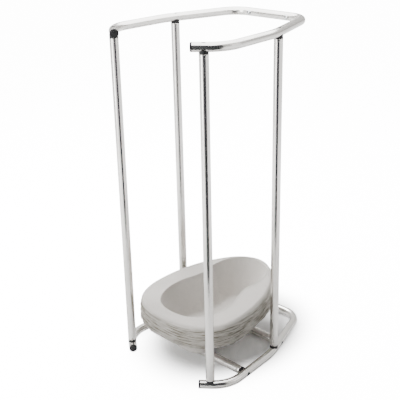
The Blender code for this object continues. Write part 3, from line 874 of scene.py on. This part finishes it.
class Shading:
    """A material's node tree with its Principled BSDF and short ways to add to it."""

    def __init__(self, name, roughness, metallic=0.0, specular=0.5):
        self.made = bpy.data.materials.new(name)
        self.made.use_nodes = True
        self.tree = self.made.node_tree
        self.shader = self.tree.nodes["Principled BSDF"]
        self.shader.inputs["Roughness"].default_value = roughness
        self.shader.inputs["Metallic"].default_value = metallic
        self.shader.inputs["Specular IOR Level"].default_value = specular
        self.place = self.tree.nodes.new("ShaderNodeTexCoord").outputs["Object"]

    def attribute(self, name):
        """Read an attribute of the piece."""
        return add_node(self.tree, "ShaderNodeAttribute", attribute_name=name)

    def mask(self, group, place, **values):
        """Add a group that makes a mask, with its values."""
        node = add_node(self.tree, "ShaderNodeGroup", node_tree=group)
        for name, value in values.items():
            node.inputs[name].default_value = value
        self.tree.links.new(place, node.inputs["Vector"])
        return node.outputs["Mask"]

    def mottle(self, scale, low=0.35, high=0.65, detail=3.0):
        """Add patches of noise as a mask."""
        return self.mask(mottle_group(), self.place, Scale=scale, Detail=detail, Low=low, High=high)

    def strands(self, stretch, turn=(0.0, 0.0, 0.0), low=0.35, high=0.65, place=None):
        """Add thin strands of noise as a mask."""
        return self.mask(strands_group(), place or self.place, Stretch=stretch, Turn=turn, Low=low,
                         High=high)

    def feed(self, socket, value):
        """Link a value's node to a socket, or set the socket to a plain value."""
        if isinstance(value, bpy.types.NodeSocket):
            self.tree.links.new(value, socket)
        else:
            socket.default_value = value

    def blend(self, mask, first, second, strength=1.0):
        """Blend from a first colour to a second by a mask."""
        node = add_node(self.tree, "ShaderNodeMix", data_type="RGBA")
        self.feed(node.inputs["Factor"], self.maths("MULTIPLY", mask, strength))
        for socket, value in ((node.inputs[6], first), (node.inputs[7], second)):
            self.feed(socket, (*value, 1.0) if isinstance(value, tuple) else value)
        return node.outputs[2]

    def maths(self, operation, first, second):
        """Combine two values."""
        node = add_node(self.tree, "ShaderNodeMath", operation=operation)
        self.feed(node.inputs[0], first)
        self.feed(node.inputs[1], second)
        return node.outputs[0]

    def span(self, mask, low, high):
        """Turn a mask into a value between two ends."""
        return self.maths("ADD", self.maths("MULTIPLY", mask, high - low), low)

    def colour(self, value):
        """Link the base colour."""
        self.tree.links.new(value, self.shader.inputs["Base Color"])

    def roughness(self, value):
        """Link the roughness."""
        self.tree.links.new(value, self.shader.inputs["Roughness"])

    def bumps(self, *layers):
        """Stack (height, strength, distance) layers of bump."""
        normal = None
        for height, strength, distance in layers:
            node = add_node(self.tree, "ShaderNodeBump", {"Height": height},
                            {"Strength": strength, "Distance": distance})
            if normal:
                self.tree.links.new(normal, node.inputs["Normal"])
            normal = node.outputs["Normal"]
        self.tree.links.new(normal, self.shader.inputs["Normal"])


def shade(base, share):
    """Return a colour made lighter or darker by a share."""
    return tuple(min(1.0, channel * share) for channel in base)


# Finishes: a mask's scale or stretch is its number of features per metre

def steel_finish(name):
    """Stainless tube: lengthwise polishing lines, faint smudges, a few scratches, and a rougher
    bore with painted shade.
    """
    base = tuple(settings("rack_finish").steel)
    made = Shading(name, roughness=0.16, metallic=1.0)
    along = made.attribute("tube_place").outputs["Vector"]
    lines = made.strands((2600.0, 2600.0, 9.0), place=along)
    smudges = made.mottle(26.0, low=0.46, high=0.68, detail=4.0)
    haze = made.mottle(5.0, low=0.35, high=0.7, detail=2.0)
    scratches = made.strands((900.0, 900.0, 40.0), turn=(0.5, 0.2, 0.0), low=0.70, high=0.76,
                             place=along)
    bore = made.attribute("bore").outputs["Fac"]
    polished = made.blend(haze, made.blend(smudges, base, shade(base, 0.93)), shade(base, 1.05))
    # Painted shade: the bore inside each tube is darkened to 12 percent of the steel colour; only
    # its added roughness is real.
    made.colour(made.blend(bore, polished, shade(base, 0.12)))
    rough = made.span(lines, 0.16, 0.22)
    rough = made.maths("ADD", rough, made.maths("MULTIPLY", smudges, 0.04))
    rough = made.maths("ADD", rough, made.maths("MULTIPLY", scratches, 0.05))
    made.roughness(made.maths("ADD", rough, made.maths("MULTIPLY", bore, 0.45)))
    made.bumps((lines, 0.03, 0.00001), (scratches, 0.12, 0.00001))
    return made.made


def nylon_finish(name):
    """Moulded black nylon: fine spark texture, faintly paler where it is rubbed."""
    base = tuple(settings("rack_finish").nylon)
    made = Shading(name, roughness=0.5, specular=0.25)
    grain = made.mottle(2600.0, detail=2.0)
    rubbed = made.mottle(160.0, low=0.52, high=0.7)
    made.colour(made.blend(rubbed, base, shade(base, 2.2), 0.6))
    made.roughness(made.span(grain, 0.42, 0.60))
    made.bumps((grain, 0.35, 0.00008), (rubbed, 0.1, 0.0001))
    return made.made


def zinc_finish(name):
    """Bright zinc plate: cloudy passivation with a cool and a warm cast, and fine turning lines."""
    base = tuple(settings("rack_finish").zinc)
    made = Shading(name, roughness=0.28, metallic=1.0)
    cool = made.mottle(240.0, low=0.45, high=0.62)
    warm = made.mottle(150.0, low=0.5, high=0.66)
    lines = made.strands((700.0, 700.0, 5200.0))
    tinted = made.blend(cool, base, (0.52, 0.57, 0.63), 0.6)
    made.colour(made.blend(warm, tinted, (0.66, 0.62, 0.52), 0.4))
    made.roughness(made.span(made.maths("MULTIPLY", cool, lines), 0.20, 0.42))
    made.bumps((lines, 0.12, 0.00003))
    return made.made


def brass_finish(name):
    """Machined brass: turning lines, a dull film and darker spots of tarnish."""
    base = tuple(settings("rack_finish").brass)
    made = Shading(name, roughness=0.3, metallic=1.0)
    film = made.mottle(190.0, low=0.4, high=0.7, detail=4.0)
    spots = made.mottle(620.0, low=0.62, high=0.72)
    lines = made.strands((500.0, 500.0, 6000.0))
    dulled = made.blend(film, base, shade(base, 0.72))
    made.colour(made.blend(spots, dulled, (0.30, 0.20, 0.09), 0.7))
    made.roughness(made.span(film, 0.24, 0.44))
    made.bumps((lines, 0.2, 0.00004))
    return made.made


def pulp_finish(name):
    """Moulded paper pulp: blotches, crossing fibres, dark flecks, and painted shade on the skirts
    in darker streaky layers.
    """
    colours = settings("rack_finish")
    base, skirt_shade = tuple(colours.pulp), tuple(colours.torn_pulp)
    made = Shading(name, roughness=0.94, specular=0.25)
    blotches = made.mottle(13.0, low=0.32, high=0.68, detail=4.0)
    clouds = made.mottle(70.0, low=0.34, high=0.66, detail=5.0)
    lumps = made.mottle(330.0, low=0.3, high=0.7, detail=4.0)
    grit = made.mottle(1500.0, low=0.3, high=0.7, detail=2.0)
    flecks = made.mottle(760.0, low=0.715, high=0.76, detail=1.0)
    fibres = made.strands((110.0, 1300.0, 1300.0), turn=(0.2, 0.3, 0.6), low=0.60, high=0.72)
    crossing = made.strands((1300.0, 120.0, 1300.0), turn=(0.4, 0.1, -0.5), low=0.60, high=0.72)
    # Painted shade: this share darkens the skirts below towards their painted shade colour, in
    # streaky layers, where the nested pans shade each other.
    edge = made.attribute("skirt_shade").outputs["Fac"]
    tone = made.blend(blotches, shade(base, 0.955), shade(base, 1.04))
    tone = made.blend(clouds, tone, shade(base, 1.03), 0.5)
    tone = made.blend(lumps, tone, shade(base, 0.90), 0.35)
    tone = made.blend(fibres, tone, shade(base, 1.14), 0.55)
    tone = made.blend(crossing, tone, shade(base, 0.84), 0.45)
    tone = made.blend(flecks, tone, (0.24, 0.22, 0.19), 0.6)
    layers = made.strands((24.0, 24.0, 300.0), low=0.38, high=0.62)
    skirt_shade_streaks = made.maths("MULTIPLY", edge, made.span(layers, 0.45, 1.05))
    made.colour(made.blend(skirt_shade_streaks, tone, skirt_shade))
    made.roughness(made.span(lumps, 0.88, 0.98))
    made.bumps((clouds, 0.25, 0.0008), (lumps, 0.45, 0.0005), (fibres, 0.3, 0.0002),
               (grit, 0.35, 0.00018))
    return made.made


FINISH_MAKERS = {
    "stainless_tube": steel_finish,
    "black_nylon": nylon_finish,
    "zinc_screw": zinc_finish,
    "brass_insert": brass_finish,
    "moulded_pulp": pulp_finish,
}


def material(slot):
    """Return the finish of a material slot, made the first time it is asked for."""
    name = "finish_" + slot
    if name not in bpy.data.materials:
        FINISH_MAKERS[slot](name)
    return bpy.data.materials[name]


# Operators

class BuildRails(bpy.types.Operator):
    """Bend the two C-shaped rails and drill their holes"""

    bl_idname = "bedpan_rack.build_rails"
    bl_label = "Rails"

    def execute(self, context):
        tube = settings("rack_tube")
        half = rail_half()
        flat = half + [mirrored(point) for point in reversed(half[:-1])]
        for level in LEVELS:
            height = rail_height(level)
            route = [point + UP * height for point in flat]
            rail = swept_tube(level + "_rail_tube", route, [1.0] * len(route), "stainless_tube")
            drill(rail, self.holes(level, tube))
            finish_piece(rail, "stainless_tube", RACK, level + "_rail")
        return {"FINISHED"}

    def holes(self, level, tube):
        """Return (placement, radius, near end, far end) for each hole of a rail."""
        inside, outside = 0.4 * tube.radius, tube.radius + 0.003
        bolt_clearance = 0.0004
        holes = []
        joints = [joint for joint in POST_JOINTS if joint.endswith(level)]
        joints += BAR_JOINTS if level == "base" else []
        for joint in joints:
            placement = joint_placement(joint)
            holes += [(placement, tube.access_radius, -outside, -inside),
                      (placement, tube.screw_hole_radius, inside, outside)]
        if level == "top":
            bolt = settings("rack_fasteners")
            holes += [(bolt_placement(side), bolt.bolt_radius + bolt_clearance, -outside, outside)
                      for side in SIDES]
        return holes


class BuildStraightTubes(bpy.types.Operator):
    """Cut the four posts and the two cross-bars, with a rolled groove near each end"""

    bl_idname = "bedpan_rack.build_straight_tubes"
    bl_label = "Posts and cross-bars"

    def execute(self, context):
        tube = settings("rack_tube")
        for node in [f"post_{post}" for post in POSTS] + [f"cross_bar_{bar}" for bar in BARS]:
            low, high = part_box(node)
            middle, size = (low + high) / 2, high - low
            axis = UP if node.startswith("post") else Vector((1.0, 0.0, 0.0))
            reach = size.dot(axis) / 2
            points, swells = [], []
            for distance, swell in self.stations(2 * reach, tube):
                points.append(middle + axis * (distance - reach))
                swells.append(swell)
            item = swept_tube(node + "_tube", points, swells, "stainless_tube")
            finish_piece(item, "stainless_tube", RACK, node)
        return {"FINISHED"}

    def stations(self, total, tube):
        """Return (distance, swell) pairs along a tube, closely spaced at its grooves and ends."""
        depth = tube.swage_depth / tube.radius
        near = [(0.0, 1 - 0.0003 / tube.radius), (0.0002, 1 - 0.0001 / tube.radius), (0.0005, 1.0)]
        groove_half = 0.0011
        steps = 10
        for step in range(steps + 1):
            across = 2 * step / steps - 1
            near.append((tube.swage_from_end + groove_half * across,
                         1 - depth * (1 + math.cos(math.pi * across)) / 2))
        far = [(total - distance, swell) for distance, swell in reversed(near)]
        return near + [(total / 2, 1.0)] + far


class BuildPlastic(bpy.types.Operator):
    """Mould the black saddle plugs and the rails' end caps"""

    bl_idname = "bedpan_rack.build_plastic"
    bl_label = "Plugs and caps"

    def execute(self, context):
        groups = (
            ("post_plugs", POST_JOINTS),
            ("front_bar_plugs", [joint for joint in BAR_JOINTS if "front" in joint]),
            ("rear_bar_plugs", [joint for joint in BAR_JOINTS if "rear" in joint]),
        )
        for name, joints in groups:
            placements = [self.placement(joint) for joint in joints]
            item = copies(name, self.plug(joints[0]), placements, "black_nylon")
            finish_piece(item, "black_nylon", RACK, *["plug_" + joint for joint in joints])
        self.caps()
        return {"FINISHED"}

    def placement(self, joint):
        """Return the turn of a plug whose own rail runs along X and leans the same way."""
        placement = joint_placement(joint)
        if not joint.startswith("bar_"):
            return placement
        axis = placement.col[2].to_3d()
        rail = rail_direction(placement.translation)
        upright = UP if axis.cross(rail).z > 0 else -UP
        return frame_along(placement.translation, axis, upright.cross(axis) * -1)

    def plug(self, joint):
        """Make one plug at the origin, its tube along Z and its rail in the plane of X and Z."""
        tube, sizes = settings("rack_tube"), settings("rack_plastic")
        bore = tube.radius - tube.wall - sizes.fit
        end = tube_end(joint) - sizes.gap
        placement = self.placement(joint)
        insert = settings("rack_fasteners").head_radius + sizes.gap
        insert_start = tube_end(joint) + 0.003
        taper, taper_length = 0.0008, 0.002
        item = turned("plug_pattern", [
            (bore - taper, end + sizes.spigot_length),
            (bore, end + sizes.spigot_length - taper_length),
            (bore, end),
            (tube.radius, end),
            (tube.radius, sizes.horn),
            (tube.screw_hole_radius, sizes.horn),
            (tube.screw_hole_radius, insert_start),
            (insert, insert_start),
            (insert, end + sizes.spigot_length),
        ], tube.sides, arc=0.0004)
        rail = placement.inverted().to_3x3() @ rail_direction(placement.translation)
        reach = 0.05
        cutter = turned("rail_cutter", [(0.0, -reach), (tube.radius + sizes.gap, -reach),
                                        (tube.radius + sizes.gap, reach), (0.0, reach)], sides=96)
        cutter.data.transform(frame_along(Vector(), rail, Vector((0, 1, 0))))
        return subtract(item, cutter)

    def caps(self):
        """Make the four end caps, each a flat disc with a rounded rim and a ribbed spigot."""
        tube, sizes = settings("rack_tube"), settings("rack_plastic")
        bore = tube.radius - tube.wall - sizes.fit
        bevel, rib_rise, rib_half = 0.0012, 0.0005, 0.0004
        ribs = []
        for share in (0.25, 0.5, 0.75):
            height = -sizes.cap_spigot * share
            ribs += [(bore - rib_rise, height + 3 * rib_half), (bore, height + rib_half),
                     (bore - rib_rise, height - rib_half)]
        item = turned("cap_pattern", [
            (0.0, sizes.cap_thickness),
            (tube.radius - bevel, sizes.cap_thickness),
            (tube.radius, sizes.cap_thickness - bevel),
            (tube.radius, sizes.gap),
            (bore - rib_rise, sizes.gap),
            *ribs,
            (bore - bevel, -sizes.cap_spigot),
            (0.0, -sizes.cap_spigot),
        ], tube.sides, arc=0.0009)
        half = rail_half()
        outward = (half[0] - half[1]).normalized()
        placements = []
        for level in LEVELS:
            end = half[0] + UP * rail_height(level)
            placements += [frame_along(end, outward), frame_along(mirrored(end), mirrored(outward))]
        caps = copies("rail_caps", item, placements, "black_nylon")
        names = [f"cap_{level}_{side}" for level in LEVELS for side in SIDES]
        finish_piece(caps, "black_nylon", RACK, *names)


class BuildFasteners(bpy.types.Operator):
    """Turn the cap screws and wall bolts, and finish the brass inserts"""

    bl_idname = "bedpan_rack.build_fasteners"
    bl_label = "Fasteners"

    def execute(self, context):
        joints = POST_JOINTS + BAR_JOINTS
        seat = self.head_seat()
        placements = [joint_placement(joint) @ Matrix.Translation((0, 0, seat)) for joint in joints]
        screws = copies("cap_screws", self.cap_screw(), placements, "zinc_screw")
        finish_piece(screws, "zinc_screw", RACK, *["screw_" + joint for joint in joints],
                     crease=28.0)
        bolts = copies("wall_bolts", self.wall_bolt(), [bolt_placement(side) for side in SIDES],
                       "zinc_screw")
        finish_piece(bolts, "zinc_screw", RACK, *["wall_bolt_" + side for side in SIDES],
                     crease=28.0)
        for joint in joints:
            frame["nodes"]["insert_" + joint].material_slots[0].material = material("brass_insert")
        return {"FINISHED"}

    def head_seat(self):
        """Return how far from the rail's axis a screw's head rests, from the packed screw."""
        low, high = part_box("screw_front_left_base")
        return low.z + settings("rack_fasteners").head_height - rail_height("base")

    def cap_screw(self):
        """Make a socket head cap screw, its head under the origin and its tip along Z."""
        sizes = settings("rack_fasteners")
        plain_shank, chamfer, socket_depth = 0.004, 0.0004, 0.003
        tip = self.threads(sizes.screw_radius, sizes.thread_pitch, plain_shank, sizes.screw_length)
        item = turned("screw_pattern", [
            *reversed(tip),
            (sizes.screw_radius, 0.0),
            (sizes.head_radius, 0.0),
            (sizes.head_radius, chamfer - sizes.head_height),
            (sizes.head_radius - chamfer, -sizes.head_height),
            (0.0, -sizes.head_height),
        ], sides=24)
        return self.socket(item, -sizes.head_height, socket_depth, sizes.socket_radius)

    def wall_bolt(self):
        """Make a domed bolt across the rail, its head at the front and its tip behind."""
        sizes, tube = settings("rack_fasteners"), settings("rack_tube")
        seat = tube.radius + settings("rack_plastic").gap
        rim, steps, thread_start, socket_depth = 0.0008, 8, -0.006, 0.0026
        dome = [(sizes.bolt_head_radius * math.cos(a), seat + rim
                 + (sizes.bolt_head_height - rim) * math.sin(a))
                for a in [math.pi / 2 * step / steps for step in range(steps + 1)]]
        tip = [(radius, -height) for radius, height in
               self.threads(sizes.bolt_radius, sizes.bolt_pitch, thread_start,
                            tube.radius + sizes.bolt_reach)]
        item = turned("bolt_pattern", [
            (0.0, dome[-1][1]),
            *reversed(dome[:-1]),
            (sizes.bolt_head_radius, seat),
            (sizes.bolt_radius, seat),
            *tip,
        ], sides=28)
        return self.socket(item, seat + sizes.bolt_head_height, -socket_depth,
                           sizes.socket_radius * 0.95)

    def threads(self, radius, pitch, start, end):
        """Return the profile of a threaded shank from start to its tip on the axis."""
        depth = 0.55 * pitch
        points = [(radius, start)]
        for turn in range(int((end - start - pitch) / pitch)):
            crest = start + pitch * (turn + 1)
            points += [(radius - depth, crest - pitch / 2), (radius, crest - pitch / 8),
                       (radius, crest + pitch / 8)]
        return points + [(radius - depth, end), (0.0, end)]

    def socket(self, item, face, depth, radius):
        """Sink a hexagon socket into a head's face."""
        over = math.copysign(0.001, depth)
        shape = turned("socket_cutter", [(0.0, face - over), (radius, face - over),
                                         (radius, face + depth), (0.0, face + depth)], sides=6)
        return subtract(item, shape)


class BuildPans(bpy.types.Operator):
    """Mould the nested pans"""

    bl_idname = "bedpan_rack.build_pans"
    bl_label = "Pans"

    def execute(self, context):
        pan = settings("rack_pan")
        seed_step = 7.3
        for number, body in enumerate(PANS, start=1):
            low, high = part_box(body)
            name = body + "_pulp"
            item = add_piece(name, pan_mesh(pan, name, seed=seed_step * number))
            item.data.transform(Matrix.Translation((0.0, (low.y + high.y) / 2, low.z)))
            clean(item, merge=1e-6)
            wall = item.modifiers.new("wall", "SOLIDIFY")
            wall.thickness = pan.wall
            wall.offset = -1.0
            flatten(item)
            finish_piece(item, "moulded_pulp", body, body, crease=50.0)
        return {"FINISHED"}


class BuildStudio(bpy.types.Operator):
    """Set up the camera, the soft lights, the surroundings and the pale floor"""

    bl_idname = "bedpan_rack.build_studio"
    bl_label = "Studio"

    def execute(self, context):
        self.camera(context)
        self.floor()
        self.surroundings(context)
        self.lights(context)
        if settings("rack_studio").show_cards:
            self.dark_card()
            self.bright_card()
        return {"FINISHED"}

    def camera(self, context):
        """Place the camera by its heading, elevation and roll."""
        sizes = settings("rack_studio")
        azimuth, elevation, roll = sizes.camera_azimuth, sizes.camera_elevation, sizes.camera_roll
        sight = Vector((-math.sin(azimuth) * math.cos(elevation),
                        math.cos(azimuth) * math.cos(elevation), -math.sin(elevation)))
        right = sight.cross(UP).normalized()
        above = right.cross(sight)
        turned_right = right * math.cos(roll) + above * math.sin(roll)
        turned_above = above * math.cos(roll) - right * math.sin(roll)
        camera = bpy.data.cameras.new("camera")
        camera.lens = sizes.lens
        camera.shift_x, camera.shift_y = sizes.shift_x, sizes.shift_y
        item = bpy.data.objects.new("camera", camera)
        turn = Matrix((turned_right, turned_above, -sight)).transposed().to_4x4()
        item.matrix_world = Matrix.Translation(sizes.camera_place) @ turn
        context.scene.collection.objects.link(item)
        context.scene.camera = item

    def floor(self):
        """Lay a white floor that glows softly away from the rack."""
        half = settings("rack_studio").floor_size / 2
        level = -0.0004
        corners = [(-half, -half), (half, -half), (half, half), (-half, half)]
        mesh = bpy.data.meshes.new("floor")
        mesh.from_pydata([(x, y, level) for x, y in corners], [], [(0, 1, 2, 3)])
        item = add_piece("floor", mesh)
        mesh.materials.append(self.floor_material())

    def floor_material(self):
        """White paint whose glow grows from under the rack to full just outside it.

        Only the camera sees that glow. Reflections see a faint one that starts further out,
        and neither lights anything matt.
        """
        made = Shading("floor_paint", roughness=0.7, specular=0.15)
        tree = made.tree
        made.shader.inputs["Base Color"].default_value = (0.86, 0.86, 0.86, 1.0)
        scaled = add_node(tree, "ShaderNodeVectorMath", {0: made.place},
                          {1: (7.4, 5.9, 0.0), 2: (0.0, -0.18, 0.0)}, operation="MULTIPLY_ADD")
        distance = add_node(tree, "ShaderNodeVectorMath", {0: scaled.outputs[0]},
                            operation="LENGTH")
        glow = add_node(tree, "ShaderNodeMapRange", {"Value": distance.outputs["Value"]},
                        {"From Min": 1.0, "From Max": 2.0, "To Min": 0.0, "To Max": 14.0},
                        interpolation_type="SMOOTHERSTEP")
        path = tree.nodes.new("ShaderNodeLightPath")
        far_glow = add_node(tree, "ShaderNodeMapRange", {"Value": distance.outputs["Value"]},
                            {"From Min": 4.0, "From Max": 10.0, "To Min": 0.0, "To Max": 1.5})
        strength = made.maths(
            "ADD", made.maths("MULTIPLY", glow.outputs["Result"], path.outputs["Is Camera Ray"]),
            made.maths("MULTIPLY", far_glow.outputs["Result"], path.outputs["Is Glossy Ray"]))
        light = add_node(tree, "ShaderNodeEmission", {"Strength": strength})
        both = add_node(tree, "ShaderNodeAddShader",
                        {0: made.shader.outputs[0], 1: light.outputs[0]})
        tree.links.new(both.outputs[0], tree.nodes["Material Output"].inputs["Surface"])
        return made.made

    def surroundings(self, context):
        """Surround the rack with soft light, white to the camera and brighter in reflections."""
        world = bpy.data.worlds.new("surroundings")
        context.scene.world = world
        world.use_nodes = True
        tree = world.node_tree
        background = tree.nodes["Background"]
        background.inputs["Color"].default_value = (1.0, 0.985, 0.96, 1.0)
        path = tree.nodes.new("ShaderNodeLightPath")
        place = tree.nodes.new("ShaderNodeTexCoord")
        height = add_node(tree, "ShaderNodeSeparateXYZ", {"Vector": place.outputs["Generated"]})
        ceiling = add_node(tree, "ShaderNodeMapRange", {"Value": height.outputs["Z"]},
                           {"From Min": 0.0, "From Max": 0.8, "To Min": 0.9, "To Max": 1.5})
        strength = add_node(tree, "ShaderNodeMapRange",
                            {"Value": path.outputs["Is Glossy Ray"],
                             "To Max": ceiling.outputs["Result"]}, {"To Min": 0.34})
        tree.links.new(strength.outputs["Result"], background.inputs["Strength"])
        seen = add_node(tree, "ShaderNodeBackground",
                        values={"Color": (1, 1, 1, 1), "Strength": 16.0})
        mixed = add_node(tree, "ShaderNodeMixShader",
                         {0: path.outputs["Is Camera Ray"], 1: background.outputs[0],
                          2: seen.outputs[0]})
        tree.links.new(mixed.outputs[0], tree.nodes["World Output"].inputs["Surface"])

    def lights(self, context):
        """Hang a broad light overhead, stand a tall one at the left and a weak one opposite."""
        target = Vector((0.0, 0.0, 0.3))
        for name, place, width, height, power in (
                ("overhead", (-1.15, 0.25, 2.3), 1.7, 1.7, 150.0),
                ("left", (-0.3, -1.95, 0.95), 0.8, 1.7, 36.0),
                ("right", (1.9, 0.9, 1.2), 1.2, 1.2, 6.0)):
            light = bpy.data.lights.new(name, "AREA")
            light.shape = "RECTANGLE"
            light.size, light.size_y = width, height
            light.energy = power
            item = bpy.data.objects.new(name, light)
            context.scene.collection.objects.link(item)
            place = Vector(place)
            turn = (target - place).to_track_quat("-Z", "Y").to_matrix()
            item.matrix_world = Matrix.Translation(place) @ turn.to_4x4()

    def dark_card(self):
        """Stand a dark card beside the camera, which only the reflections show."""
        foot, heading, half_width = Vector((0.53, -0.50, 0.0)), math.radians(47.0), 0.34
        across = Vector((math.cos(heading), math.sin(heading), 0.0)) * half_width
        made = Shading("card_felt", roughness=1.0, specular=0.0)
        made.shader.inputs["Base Color"].default_value = (0.03, 0.032, 0.035, 1.0)
        self.card("dark_card", foot - across, across * 2, UP * 3.0, made)

    def bright_card(self):
        """Hang a bright card low over the rack, which only the reflections show."""
        made = Shading("card_glow", roughness=1.0, specular=0.0)
        made.shader.inputs["Emission Color"].default_value = (1.0, 1.0, 1.0, 1.0)
        made.shader.inputs["Emission Strength"].default_value = 6.5
        corner = Vector((-0.55, -0.45, 1.2))
        self.card("bright_card", corner, Vector((0.0, 1.0, 0.0)), Vector((1.0, 0.0, 0.0)), made)

    def card(self, name, corner, across, along, made):
        """Add a card that the camera doesn't see and that casts no shadow."""
        mesh = bpy.data.meshes.new(name)
        mesh.from_pydata([corner, corner + across, corner + across + along, corner + along],
                         [], [(0, 1, 2, 3)])
        mesh.materials.append(made.made)
        item = add_piece(name, mesh)
        item.visible_camera = False
        item.visible_diffuse = False
        item.visible_shadow = False


OPERATORS = (BuildRails, BuildStraightTubes, BuildPlastic, BuildFasteners, BuildPans, BuildStudio)


class RackPanel(bpy.types.Panel):
    """Buttons for the rack's pieces and their settings"""

    bl_idname = "VIEW3D_PT_bedpan_rack"
    bl_label = "Bedpan rack"
    bl_space_type = "VIEW_3D"
    bl_region_type = "UI"
    bl_category = "Bedpan rack"

    def draw(self, context):
        for operator in OPERATORS:
            self.layout.operator(operator.bl_idname)
        for name, group in SETTINGS.items():
            box = self.layout.box()
            box.label(text=group.__doc__)
            for field in group.__annotations__:
                box.prop(getattr(context.scene, name), field)


def register():
    """Register the classes and attach the settings to the scene."""
    for cls in (*SETTINGS.values(), *OPERATORS, RackPanel):
        bpy.utils.register_class(cls)
    for name, group in SETTINGS.items():
        setattr(bpy.types.Scene, name, PointerProperty(type=group))


def unregister():
    """Detach the settings and unregister the classes."""
    for name in SETTINGS:
        delattr(bpy.types.Scene, name)
    for cls in reversed((*SETTINGS.values(), *OPERATORS, RackPanel)):
        bpy.utils.unregister_class(cls)


def main():
    """Build everything."""
    register()
    bpy.ops.bedpan_rack.build_rails()
    bpy.ops.bedpan_rack.build_straight_tubes()
    bpy.ops.bedpan_rack.build_plastic()
    bpy.ops.bedpan_rack.build_fasteners()
    bpy.ops.bedpan_rack.build_pans()
    bpy.ops.bedpan_rack.build_studio()


if __name__ == "__main__":
    main()
